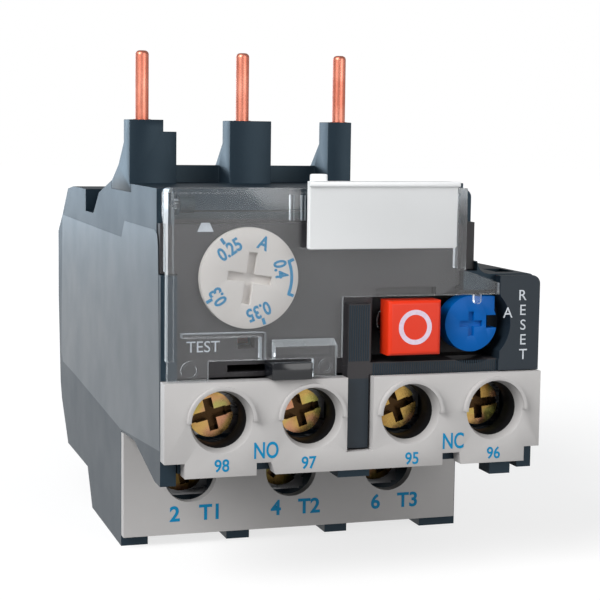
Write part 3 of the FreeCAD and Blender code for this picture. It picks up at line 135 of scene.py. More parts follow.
class RelaySizes(bpy.types.PropertyGroup):
    edge: FloatProperty(
        name="Edge rounding", description="Radius of the moulded edges",
        default=0.18 * MM, min=0, max=1 * MM, unit="LENGTH", precision=5)
    print_depth: FloatProperty(
        name="Print thickness", description="How far the print stands off the surface",
        default=0.02 * MM, min=0, max=0.2 * MM, unit="LENGTH", precision=6)
    terminal_print: FloatProperty(
        name="Terminal number height", description="Height of the contact terminal numbers",
        default=1.45 * MM, min=0.5 * MM, max=3 * MM, unit="LENGTH", precision=5)
    power_print: FloatProperty(
        name="Power number height", description="Height of the power terminal numbers",
        default=2.0 * MM, min=0.5 * MM, max=3 * MM, unit="LENGTH", precision=5)
    ring_outer: FloatProperty(
        name="Stop ring radius", description="Outer radius of the ring on the stop button",
        default=2.0 * MM, min=0.5 * MM, max=3 * MM, unit="LENGTH", precision=5)
    ring_wide: FloatProperty(
        name="Stop ring width", description="Width of the ring's band",
        default=0.56 * MM, min=0.1 * MM, max=1.5 * MM, unit="LENGTH", precision=5)
    dial_print: FloatProperty(
        name="Dial number height", description="Height of the numbers round the dial",
        default=1.56 * MM, min=0.5 * MM, max=3 * MM, unit="LENGTH", precision=5)


class RelayColours(bpy.types.PropertyGroup):
    housing: colour_setting("Housing", "Dark moulded housing", (23, 34, 43))
    face: colour_setting("Face", "Face behind the clear cover", (44, 42, 44))
    grey: colour_setting("Covers", "Grey terminal block and lower cover", (179, 177, 176))
    dial: colour_setting("Dial", "Setting dial", (210, 203, 197))
    stop: colour_setting("Stop button", "Stop button", (220, 50, 18))
    reset: colour_setting("Reset knob", "Reset knob", (0, 92, 172))
    tag: colour_setting("Marker tag", "Marker tag", (240, 242, 243))
    copper: colour_setting("Copper", "Load pins and leads", (228, 150, 128))
    zinc: colour_setting("Yellow zinc", "Terminal screws", (186, 154, 88))
    steel: colour_setting("Steel", "Bars, washers and springs", (196, 196, 198))
    blue_print: colour_setting("Blue print", "Print on the grey pieces and the dial", (0, 130, 178))
    pale_print: colour_setting("Pale print", "Print on the dark pieces", (206, 212, 218))


def sizes():
    return bpy.context.scene.relay_sizes


def colours():
    return bpy.context.scene.relay_colours


# ------------------------------------------------------------------ materials
class Recipe:
    """A node material under construction."""

    def __init__(self, name):
        self.material = bpy.data.materials.new(name)
        self.material.use_nodes = True
        self.tree = self.material.node_tree
        self.tree.nodes.clear()
        self.output = self.add("ShaderNodeOutputMaterial")
        self.shader = self.add("ShaderNodeBsdfPrincipled")
        self.join(self.shader, "BSDF", self.output, "Surface")
        self.place = self.add("ShaderNodeTexCoord")

    def add(self, kind, **values):
        node = self.tree.nodes.new(kind)
        for key, value in values.items():
            setattr(node, key, value)
        return node

    def join(self, source, out, target, into):
        self.tree.links.new(source.outputs[out], target.inputs[into])

    def set(self, **values):
        for key, value in values.items():
            self.shader.inputs[key.replace("_", " ")].default_value = value

    def noise(self, scale, detail=3, rough=0.5, stretch=None):
        """Noise that sits still on the piece; scale is in features per metre."""
        noise = self.add("ShaderNodeTexNoise")
        noise.inputs["Scale"].default_value = scale
        noise.inputs["Detail"].default_value = detail
        noise.inputs["Roughness"].default_value = rough
        if stretch:
            mapping = self.add("ShaderNodeMapping")
            mapping.inputs["Scale"].default_value = stretch
            self.join(self.place, "Object", mapping, "Vector")
            self.join(mapping, "Vector", noise, "Vector")
        else:
            self.join(self.place, "Object", noise, "Vector")
        return noise

    def spread(self, source, out, low, high, start=0.3, stop=0.7):
        """Maps a value from start..stop to low..high."""
        node = self.add("ShaderNodeMapRange")
        node.inputs["From Min"].default_value = start
        node.inputs["From Max"].default_value = stop
        node.inputs["To Min"].default_value = low
        node.inputs["To Max"].default_value = high
        self.join(source, out, node, "Value")
        return node

    def blend(self, factor, out, first, second):
        """Mixes two colours by a factor node; each may be a colour or a node's colour output."""
        node = self.add("ShaderNodeMix", data_type="RGBA")
        self.tree.links.new(factor.outputs[out], node.inputs["Factor"])
        for socket, value in ((node.inputs[6], first), (node.inputs[7], second)):
            if isinstance(value, bpy.types.Node):
                self.tree.links.new(value.outputs[2], socket)
            else:
                socket.default_value = (*value, 1)
        return node

    def beyond(self, axis, place, under=False):
        """One past that place along the axis, or one under it, and nought on the other side."""
        parts = self.add("ShaderNodeSeparateXYZ")
        self.join(self.place, "Object", parts, "Vector")
        step = self.add("ShaderNodeMath", operation="LESS_THAN" if under else "GREATER_THAN")
        step.inputs[1].default_value = place
        self.join(parts, axis, step, 0)
        return step

    def paint(self, mix):
        self.tree.links.new(mix.outputs[2], self.shader.inputs["Base Color"])

    def bump(self, *layers):
        """Stacks (node, output, strength, depth in mm) into the shader's normal."""
        last = None
        for source, out, strength, depth in layers:
            node = self.add("ShaderNodeBump")
            node.inputs["Strength"].default_value = strength
            node.inputs["Distance"].default_value = depth * MM
            self.join(source, out, node, "Height")
            if last:
                self.join(last, "Normal", node, "Normal")
            last = node
        self.join(last, "Normal", self.shader, "Normal")


def scaled(colour, factor):
    return tuple(min(1, part * factor) for part in colour)


def moulded(name, colour, rough, grain=2600, depth=0.02, cloud=0.10, dust=0.0, sheen=0.5, past=(),
            cast=(1, 1, 1)):
    """Injection-moulded plastic: spark-eroded grain, faint flow clouds and a little handling polish.

    past holds (axis, place, under, colour) for each side of a place that has another colour; cast tints the
    reflected light.
    """
    recipe = Recipe(name)
    clouds = recipe.noise(90, 4, 0.55)
    shade = recipe.spread(clouds, "Fac", 0, 1)
    tone = recipe.blend(shade, "Result", scaled(colour, 1 - cloud), scaled(colour, 1 + cloud))
    if dust:
        specks = recipe.noise(900, 5, 0.7)
        speckle = recipe.spread(specks, "Fac", 0, dust, 0.56, 0.72)
        tone = recipe.blend(speckle, "Result", tone, scaled(colour, 1.6))
    for axis, place, under, other in past:
        tone = recipe.blend(recipe.beyond(axis, place, under), "Value", tone, other)
    recipe.paint(tone)
    fine = recipe.noise(grain, 2, 0.6)
    polish = recipe.noise(160, 3, 0.5)
    matt = recipe.spread(polish, "Fac", rough - 0.02, rough + 0.03)
    recipe.join(matt, "Result", recipe.shader, "Roughness")
    ripple = recipe.noise(220, 1, 0.4)
    recipe.bump((ripple, "Fac", 0.03, 0.03), (fine, "Fac", 0.35, depth))
    recipe.set(Specular_IOR_Level=sheen, Specular_Tint=(*cast, 1))
    return recipe.material


def metal(name, colour, rough, streak=(1, 1, 1), scale=500, tint=None, pits=0.2, past=(), film=()):
    """Bright metal with drawn or rolled streaks and a tarnish tint in patches.

    past is as for moulded; film is a pair of colours a passivated coat shimmers in.
    """
    recipe = Recipe(name)
    lines = recipe.noise(scale, 4, 0.6, streak)
    patches = recipe.noise(240, 3, 0.6)
    share = recipe.spread(patches, "Fac", 0, 1, 0.35, 0.7)
    tone = recipe.blend(share, "Result", colour, tint or scaled(colour, 0.82))
    for size, shimmer in zip((330, 410), film):
        veil = recipe.noise(size, 1, 0.4)
        tone = recipe.blend(recipe.spread(veil, "Fac", 0, 0.7, 0.52, 0.68), "Result", tone, shimmer)
    for axis, place, under, other in past:
        tone = recipe.blend(recipe.beyond(axis, place, under), "Value", tone, other)
    recipe.paint(tone)
    gloss = recipe.spread(lines, "Fac", rough - 0.08, rough + 0.12)
    recipe.join(gloss, "Result", recipe.shader, "Roughness")
    recipe.bump((lines, "Fac", pits, 0.02))
    recipe.set(Metallic=1.0)
    return recipe.material


def clear_plastic(name, clear=1.0, tone=(0.93, 0.945, 0.955)):
    """Clear moulded cover that lets lamp light through to what is behind it; made less clear and paler, it is the
    painted highlight on the cover's rims.
    """
    recipe = Recipe(name)
    haze = recipe.noise(260, 3, 0.5)
    rub = recipe.spread(haze, "Fac", 0.02, 0.09)
    recipe.join(rub, "Result", recipe.shader, "Roughness")
    recipe.set(Base_Color=(*tone, 1), Transmission_Weight=clear, IOR=1.46)
    open_air = recipe.add("ShaderNodeBsdfTransparent")
    open_air.inputs["Color"].default_value = (0.88, 0.89, 0.90, 1)
    rays = recipe.add("ShaderNodeLightPath")
    lighting = recipe.add("ShaderNodeMath", operation="MAXIMUM")
    recipe.join(rays, "Is Shadow Ray", lighting, 0)
    recipe.join(rays, "Is Diffuse Ray", lighting, 1)
    mixed = recipe.add("ShaderNodeMixShader")
    recipe.join(lighting, "Value", mixed, "Fac")
    recipe.tree.links.new(recipe.shader.outputs["BSDF"], mixed.inputs[1])
    recipe.tree.links.new(open_air.outputs["BSDF"], mixed.inputs[2])
    recipe.tree.links.new(mixed.outputs["Shader"], recipe.output.inputs["Surface"])
    return recipe.material


def ink(name, colour):
    """Pad-printed ink: nearly matt, slightly uneven in thickness."""
    recipe = Recipe(name)
    wear = recipe.noise(1800, 3, 0.6)
    share = recipe.spread(wear, "Fac", 0, 1, 0.35, 0.75)
    recipe.paint(recipe.blend(share, "Result", colour, scaled(colour, 0.86)))
    recipe.bump((wear, "Fac", 0.2, 0.01))
    recipe.set(Roughness=0.45, Specular_IOR_Level=0.2)
    return recipe.material


def face_plastic():
    """The front moulding: brownish black behind the clear cover, housing-coloured round it, and at the top a dark
    teal band of painted shade under the cover's top.
    """
    tones = colours()
    return moulded("face plastic", tones.face, 0.5, cloud=0.05, sheen=0.35, past=(
        ("X", spot(COLUMN_LEFT, 0, 0).x, False, tones.housing),
        ("Z", spot(0, 0, FACE_LOW).z, True, tones.housing),
        # painted shade: dark teal above BAND_LOW, under the cover's top
        ("Z", spot(0, 0, BAND_LOW).z, False, linear(16, 34, 42))))


_finishes = {}


def screw_zinc(name, node, bright=1.0):
    """Yellow-passivated zinc with painted shade: dark brown where a head's recesses and sides lie behind its face,
    and all of it darker when bright is under 1.
    """
    tones = colours()
    # painted shade: past makes all that lies 0.25 mm behind the head's face dark brown
    return metal(name, scaled(tones.zinc, bright), 0.22, (1, 1, 1), 900, scaled(linear(124, 92, 46), bright), 0.3,
                 past=[("Y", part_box(node)[0].y + 0.25 * MM, False, linear(58, 42, 26))],
                 film=(scaled(linear(176, 118, 104), bright), scaled(linear(150, 158, 84), bright)))


def finish(name):
    """The material of that name, made on first use."""
    if name not in _finishes:
        tones = colours()
        makers = {
            "housing plastic": lambda: moulded("housing plastic", tones.housing, 0.42, dust=0.03, cloud=0.03,
                                                        sheen=0.32, cast=(0.62, 0.84, 1.0)),
            "face plastic": face_plastic,
            "grey plastic": lambda: moulded("grey plastic", tones.grey, 0.52, grain=1900, depth=0.03, cloud=0.035),
            "gloss black": lambda: moulded("gloss black", linear(24, 26, 30), 0.16, depth=0.004),
            "dial plastic": lambda: moulded("dial plastic", tones.dial, 0.55, cloud=0.05),
            "red plastic": lambda: moulded("red plastic", tones.stop, 0.38, depth=0.008, cloud=0.03, sheen=0.3),
            "blue plastic": lambda: moulded("blue plastic", tones.reset, 0.34, depth=0.006, cloud=0.04, sheen=0.12),
            "white plastic": lambda: moulded("white plastic", tones.tag, 0.36, depth=0.006, cloud=0.015),
            "inner plastic": lambda: moulded("inner plastic", linear(214, 206, 184), 0.5),
            "flag plastic": lambda: moulded("flag plastic", linear(190, 78, 52), 0.45),
            "label film": lambda: moulded("label film", scaled(tones.housing, 1.25), 0.34, grain=4200, depth=0.004,
                                          cloud=0.02, cast=(0.62, 0.84, 1.0)),
            "clear plastic": lambda: clear_plastic("clear plastic"),
            # painted highlight: a paler, less clear plastic for the cover's rims and steps
            "painted rim highlight": lambda: clear_plastic("painted rim highlight", 0.72, (0.80, 0.86, 0.90)),
            "drawn copper": lambda: metal("drawn copper", tones.copper, 0.40, (6, 6, 0.35), 900,
                                          linear(206, 118, 96), 0.2),
            "yellow zinc": lambda: screw_zinc("yellow zinc", "aux_screws"),
            # painted shade: the power screws sit deep in the lower cover's holes, so their zinc is darkened to a
            # fifth
            "power zinc in painted shade": lambda: screw_zinc("power zinc in painted shade", "power_screws", 0.2),
            # painted shade: black for the insides of the grey block's screw wells
            "painted well shade": lambda: moulded("painted well shade", linear(20, 20, 22), 0.6, sheen=0.2),
            "bright steel": lambda: metal("bright steel", tones.steel, 0.30, (0.5, 3, 3), 700),
            "heater alloy": lambda: metal("heater alloy", linear(168, 166, 160), 0.34, (2, 2, 0.5), 700),
            "brass": lambda: metal("brass", linear(212, 186, 122), 0.3),
            "blue ink": lambda: ink("blue ink", tones.blue_print),
            "pale ink": lambda: ink("pale ink", tones.pale_print),
            "ring ink": lambda: ink("ring ink", linear(226, 208, 226)),
        }
        _finishes[name] = makers[name]()
    return _finishes[name]


FINISH_OF_SLOT = {
    "dark_plastic": "housing plastic", "face_plastic": "face plastic", "gloss_black": "gloss black",
    "copper": "drawn copper", "heater_wire": "heater alloy", "bimetal": "bright steel",
    "tinned_metal": "bright steel", "zinc_yellow": "yellow zinc", "zinc_washer": "bright steel",
    "grey_plastic": "grey plastic", "clear_plastic": "clear plastic", "white_plastic": "white plastic",
    "dial_plastic": "dial plastic", "red_plastic": "red plastic", "blue_plastic": "blue plastic",
    "spring_steel": "bright steel", "inner_plastic": "inner plastic", "bridge_brass": "brass",
    "flag_plastic": "flag plastic",
}
FINISH_OF_NODE = {"power_screws": "power zinc in painted shade", "test_slide": "gloss black"}
SLOT_OF_NODE = {row["node"]: row["material_slot"] for row in frame["record"]["subparts"]}
BODY_OF_NODE = {node: body for body, nodes in frame["record"]["behaviour"]["bodies"].items() for node in nodes}


def finish_of(node):
    return FINISH_OF_NODE.get(node) or FINISH_OF_SLOT[SLOT_OF_NODE[node]]


# ------------------------------------------------------------------ modelling helpers
def only(thing):
    """Leaves just this object selected and active."""
    if bpy.context.object and bpy.context.object.mode != "OBJECT":
        bpy.ops.object.mode_set(mode="OBJECT")
    bpy.ops.object.select_all(action="DESELECT")
    thing.select_set(True)
    bpy.context.view_layer.objects.active = thing


def settle(thing):
    """Puts the object's place, turn and scale into its mesh."""
    only(thing)
    bpy.ops.object.transform_apply(location=True, rotation=True, scale=True)


def apply_modifiers(thing):
    only(thing)
    for modifier in list(thing.modifiers):
        bpy.ops.object.modifier_apply(modifier=modifier.name)


def dress(thing, material, body):
    """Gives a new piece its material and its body."""
    thing.data.materials.clear()
    thing.data.materials.append(finish(material))
    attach(thing, body)
    return thing


def copy_of(node):
    """A merged copy of a node, which stands for the node."""
    only(NODES[node])
    bpy.ops.object.duplicate()
    piece = bpy.context.object
    piece.name = node + "_shown"
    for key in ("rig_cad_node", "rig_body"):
        if key in piece:
            del piece[key]
    piece.parent = None
    piece.matrix_world = Matrix.Identity(4)
    bpy.ops.object.mode_set(mode="EDIT")
    bpy.ops.mesh.select_all(action="SELECT")
    bpy.ops.mesh.remove_doubles(threshold=1e-6)
    bpy.ops.mesh.dissolve_degenerate(threshold=1e-6)
    bpy.ops.object.mode_set(mode="OBJECT")
    piece.data.materials.clear()
    piece.data.materials.append(finish(finish_of(node)))
    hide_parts(node)
    return piece


def rounded_copy(node, width, angle=40, segments=2, flatten=False, shape=None):
    """A copy of a node with its edges rounded, which rides on the node's body.

    flatten clears the flat walls of needless edges and keeps them flat; shape may move the corners first.
    """
    piece = copy_of(node)
    if flatten:
        bpy.ops.object.mode_set(mode="EDIT")
        bpy.ops.mesh.select_all(action="SELECT")
        bpy.ops.mesh.dissolve_limited(angle_limit=math.radians(0.5))
        bpy.ops.object.mode_set(mode="OBJECT")
    if shape:
        for vertex in piece.data.vertices:
            vertex.co = shape(vertex.co)
    bevel = piece.modifiers.new("edges", "BEVEL")
    bevel.width = width
    bevel.segments = segments
    bevel.limit_method = "ANGLE"
    bevel.angle_limit = math.radians(angle)
    bevel.use_clamp_overlap = True
    bevel.miter_outer = "MITER_ARC"
    apply_modifiers(piece)
    if flatten:
        bpy.ops.object.shade_flat()
    else:
        bpy.ops.object.shade_smooth_by_angle(angle=math.radians(35))
    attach(piece, BODY_OF_NODE[node])
    return piece


def lettering(name, words, height, centre, body, material, turn=0.0, widen=1.0, heavy=0.012):
    """Printed words, standing upright and facing the front, turned about Y by turn degrees."""
    bpy.ops.object.select_all(action="DESELECT")
    bpy.ops.object.text_add()
    text = bpy.context.object
    text.name = name
    text.data.body = words
    text.data.resolution_u = 5
    text.data.extrude = 0.01
    text.data.offset = heavy
    bpy.ops.object.convert(target="MESH")
    text = bpy.context.object
    spans = [[corner[axis] for corner in text.bound_box] for axis in range(3)]
    low = [min(span) for span in spans]
    high = [max(span) for span in spans]
    grow = height / (high[1] - low[1])
    deep = sizes().print_depth / (high[2] - low[2])
    text.data.transform(Matrix.Translation((-(low[0] + high[0]) / 2, -(low[1] + high[1]) / 2, -low[2])))
    text.scale = (grow * widen, grow, deep)
    settle(text)
    text.rotation_euler = (math.radians(90), 0, 0)
    settle(text)
    text.rotation_euler = (0, math.radians(turn), 0)
    text.location = centre
    settle(text)
    return dress(text, material, body)


def plate(name, outline, back, thick, body, material, side=False):
    """A thin flat piece with an outline of (across, up) places, facing the front; side stands it facing left."""
    bpy.ops.object.select_all(action="DESELECT")
    bpy.ops.mesh.primitive_circle_add(vertices=len(outline), radius=1, fill_type="NGON")
    piece = bpy.context.object
    piece.name = name
    for vertex, (across, up) in zip(piece.data.vertices, outline):
        vertex.co = spot(back, across, up) if side else spot(across, back, up)
    bpy.ops.object.mode_set(mode="EDIT")
    bpy.ops.mesh.select_all(action="SELECT")
    step = (-thick, 0, 0) if side else (0, -thick, 0)
    bpy.ops.mesh.extrude_region_move(TRANSFORM_OT_translate={"value": step})
    bpy.ops.mesh.select_all(action="SELECT")
    bpy.ops.mesh.normals_make_consistent(inside=False)
    bpy.ops.object.mode_set(mode="OBJECT")
    return dress(piece, material, body)


# ------------------------------------------------------------------ pieces
class RELAY_OT_housings(bpy.types.Operator):
    """Round the edges of the moulded pieces and give them their plastics"""
    bl_idname = "relay.housings"
    bl_label = "Moulded pieces"

    def execute(self, context):
        for node in ("pin_block", "marker_tag", "stop_button"):
            rounded_copy(node, sizes().edge)
        self.block()
        rounded_copy("power_cover", sizes().edge, flatten=True)
        for node in ("reset_knob", "test_slide"):
            rounded_copy(node, sizes().edge * 0.8)
        for node in ("main_housing", "front_housing"):
            rounded_copy(node, sizes().edge, flatten=True)
        self.clear_cover()
        self.ribs("bar_ribs", 21.5, 24.0, 26.0, 32.4)
        self.ribs("ledge_ribs", 24.4, 39.7, 24.1, 25.7)
        self.label()
        return {"FINISHED"}

    def block(self):
        """The grey terminal block, with painted shade: the faces inside its screw wells, behind their grey mouths,
        are made black.
        """
        block = rounded_copy("aux_block", sizes().edge)
        block.data.materials.append(finish("painted well shade"))
        for face in block.data.polygons:
            for across in WELL_AXES:
                place = face.center - spot(across, WELL_MOUTH, WELL_HEIGHT)
                # painted shade: faces deep in a well, behind its grey mouth, are made black
                if place.y > 0 and math.hypot(place.x, place.z) < WELL_RADIUS * MM:
                    face.material_index = 1

    def clear_cover(self):
        """The clear cover; its rims and steps get a paler, less clear plastic as a painted highlight."""
        cover = rounded_copy("clear_cover", 0.1 * MM, flatten=True)
        cover.data.materials.append(finish("painted rim highlight"))
        for face in cover.data.polygons:
            # painted highlight: faces that do not face the front or back get the paler rim plastic
            if abs(face.normal.y) < 0.7:
                face.material_index = 1

    def ribs(self, name, left, right, low, high):
        """Fine upright grip ribs on the bar's or the ledge's front."""
        bpy.ops.object.select_all(action="DESELECT")
        bpy.ops.mesh.primitive_cube_add(size=1)
        rib = bpy.context.object
        rib.name = name
        rib.scale = (RIB_WIDE * MM, 2 * RIB_PROUD * MM, (high - low) * MM)
        rib.location = spot(left + RIB_WIDE / 2, LEDGE_FRONT, (low + high) / 2)
        settle(rib)
        row = rib.modifiers.new("row", "ARRAY")
        row.count = int((right - left - RIB_WIDE) / RIB_PITCH) + 1
        row.use_relative_offset = False
        row.use_constant_offset = True
        row.constant_offset_displace = (RIB_PITCH * MM, 0, 0)
        apply_modifiers(rib)
        dress(rib, "housing plastic", "relay")

    def label(self):
        """The bare rating panel on the left wall."""
        plate("side_panel", SIDE_LABEL, 0, 0.03 * MM, "relay", "label film", side=True)


class RELAY_OT_springs(bpy.types.Operator):
    """Show the two return springs as merged copies of their nodes"""
    bl_idname = "relay.springs"
    bl_label = "Springs"

    def execute(self, context):
        for node, presser in (("stop_spring", "stop"), ("reset_spring", "reset_stem")):
            spring = copy_of(node)
            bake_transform(spring)
        return {"FINISHED"}


class RELAY_OT_finishes(bpy.types.Operator):
    """Give every frame node its own procedural finish"""
    bl_idname = "relay.finishes"
    bl_label = "Finishes"

    def execute(self, context):
        for node, thing in NODES.items():
            thing.data.materials.clear()
            thing.data.materials.append(finish(finish_of(node)))
            if not thing.hide_render:
                only(thing)
                bpy.ops.object.shade_smooth_by_angle(angle=math.radians(30))
        return {"FINISHED"}


class RELAY_OT_dial(bpy.types.Operator):
    """Print the setting dial"""
    bl_idname = "relay.dial"
    bl_label = "Dial"

    def execute(self, context):
        dial_low, dial_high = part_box("current_dial")
        self.centre = ((dial_low.x + dial_high.x) / 2, (dial_low.z + dial_high.z) / 2)
        self.face = dial_low.y
        rounded_copy("current_dial", 0.12 * MM, shape=self.slot_corner)
        high = sizes().dial_print
        for words, turn, radius, lean in (("0.25", -36, 3.97, -33), ("A", 22, 4.2, 22), ("0.4", 75, 3.7, 80),
                                          ("0.35", 164, 3.9, 158), ("0.3", 241, 4.15, 238)):
            lettering("dial_number_" + words.replace(".", "_"), words, high, self.place(turn, radius), "dial",
                      "blue ink", lean, widen=0.82, heavy=0.03)
        for turn, radius in ((-37, 5.15), (161, 5.1), (242, 5.2), (68, 5.1), (112, 5.1)):
            self.tick(turn, radius)
        self.bracket(68, 112, 4.85, 0.34)
        return {"FINISHED"}

    def slot_corner(self, corner):
        """Turns and stretches the dial's cross slot, which is cut square on the node."""
        across, up = corner.x - self.centre[0], corner.z - self.centre[1]
        if corner.y > self.face + 2 * MM or math.hypot(across, up) > 3.6 * MM:
            return corner
        across *= 1.04 if abs(across) > 2 * MM else 1.11
        up *= 1.18 if abs(up) > 2 * MM else 1.11
        turn = math.radians(SLOT_TURN)
        return Vector((self.centre[0] + across * math.cos(turn) + up * math.sin(turn), corner.y,
                       self.centre[1] - across * math.sin(turn) + up * math.cos(turn)))

    def place(self, turn, radius):
        """A place on the dial's face, turn degrees clockwise from the top and radius mm out."""
        angle = math.radians(turn)
        return Vector((self.centre[0] + radius * MM * math.sin(angle), self.face,
                       self.centre[1] + radius * MM * math.cos(angle)))

    def tick(self, turn, radius):
        """A short radial mark."""
        bpy.ops.object.select_all(action="DESELECT")
        bpy.ops.mesh.primitive_cube_add(size=1)
        mark = bpy.context.object
        mark.name = "dial_tick_%d" % (turn % 360)
        mark.scale = (0.35 * MM, sizes().print_depth, 0.75 * MM)
        settle(mark)
        mark.rotation_euler = (0, math.radians(turn), 0)
        mark.location = self.place(turn, radius) - Vector((0, sizes().print_depth / 2, 0))
        settle(mark)
        dress(mark, "blue ink", "dial")

    def bracket(self, start, stop, radius, wide):
        """An arc band that joins two of the marks."""
        bpy.ops.object.select_all(action="DESELECT")
        bpy.ops.mesh.primitive_plane_add(size=1)
        band = bpy.context.object
        band.name = "dial_bracket"
        bpy.ops.object.mode_set(mode="EDIT")
        bpy.ops.mesh.select_mode(type="VERT")
        bpy.ops.mesh.select_all(action="DESELECT")
        bpy.ops.object.mode_set(mode="OBJECT")
        for vertex in band.data.vertices:
            vertex.select = vertex.co.x < 0
        bpy.ops.object.mode_set(mode="EDIT")
        bpy.ops.mesh.delete(type="VERT")
        bpy.ops.object.mode_set(mode="OBJECT")
        for vertex, edge in zip(band.data.vertices, (radius - wide / 2, radius + wide / 2)):
            vertex.co = self.place(start, edge)
        bpy.ops.object.mode_set(mode="EDIT")
        bpy.ops.mesh.select_all(action="SELECT")
        bpy.ops.mesh.spin(steps=12, angle=math.radians(start - stop), axis=(0, 1, 0),
                          center=(self.centre[0], self.face, self.centre[1]))
        bpy.ops.mesh.select_all(action="SELECT")
        bpy.ops.mesh.extrude_region_move(TRANSFORM_OT_translate={"value": (0, -sizes().print_depth, 0)})
        bpy.ops.mesh.select_all(action="SELECT")
        bpy.ops.mesh.normals_make_consistent(inside=False)
        bpy.ops.object.mode_set(mode="OBJECT")
        dress(band, "blue ink", "dial")


class RELAY_OT_print(bpy.types.Operator):
    """Print the terminal numbers and the function marks"""
    bl_idname = "relay.print"
    bl_label = "Print"

    def execute(self, context):
        small, wide = sizes().terminal_print, 1.9 * MM
        for words, across, up, high, widen in (
                ("98", 6.5, 15.0, small, 0.9), ("NO", 11.6, 16.5, wide, 0.72), ("97", 16.6, 14.85, small, 0.9),
                ("95", 29.0, 14.7, small, 0.9), ("NC", 34.1, 16.5, wide, 0.72), ("96", 39.2, 14.85, small, 0.9)):
            lettering("print_" + words, words, high, spot(across, 0, up), "relay", "blue ink",
                      widen=widen, heavy=0.018)
        large = sizes().power_print
        for words, across in (("2", 6.5), ("T1", 10.9), ("4", 19.7), ("T2", 24.15), ("6", 33.25), ("T3", 37.65)):
            lettering("print_" + words, words, large, spot(across, LOWER_COVER_FRONT, 4.05), "relay", "blue ink",
                      heavy=0.028)
        for index, letter in enumerate("RESET"):
            place = spot(42.72 + index * 0.05, COLUMN_FRONT, 33.2 - index * 1.735)
            lettering("print_reset_%d" % index, letter, 1.2 * MM, place, "relay", "pale ink",
                      heavy=0.0)
        lettering("print_automatic", "A", 1.2 * MM, spot(40.85, COLUMN_FRONT, 31.2), "relay", "pale ink",
                  heavy=0.0)
        lettering("print_test", "TEST", 1.25 * MM, spot(4.95, FACE_BACK, 27.95), "relay", "pale ink",
                  heavy=0.0)
        self.ring()
        plate("index_mark", INDEX_MARK, FACE_BACK, sizes().print_depth, "relay", "pale ink")
        return {"FINISHED"}

    def ring(self):
        """The pale ring on the stop button."""
        low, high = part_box("stop_button")
        bpy.ops.object.select_all(action="DESELECT")
        bpy.ops.mesh.primitive_circle_add(vertices=48, radius=sizes().ring_outer, fill_type="NGON",
                                          rotation=(math.radians(90), 0, 0))
        ring = bpy.context.object
        ring.name = "stop_ring"
        bpy.ops.object.transform_apply(location=False, rotation=True, scale=True)
        bpy.ops.object.mode_set(mode="EDIT")
        bpy.ops.mesh.select_all(action="SELECT")
        bpy.ops.mesh.inset(thickness=sizes().ring_wide)
        bpy.ops.mesh.delete(type="FACE")
        bpy.ops.mesh.select_all(action="SELECT")
        bpy.ops.mesh.extrude_region_move(TRANSFORM_OT_translate={"value": (0, -sizes().print_depth, 0)})
        bpy.ops.mesh.select_all(action="SELECT")
        bpy.ops.mesh.normals_make_consistent(inside=False)
        bpy.ops.object.mode_set(mode="OBJECT")
        ring.location = ((low.x + high.x) / 2, low.y, (low.z + high.z) / 2 + 0.1 * MM)
        settle(ring)
        dress(ring, "ring ink", "stop")


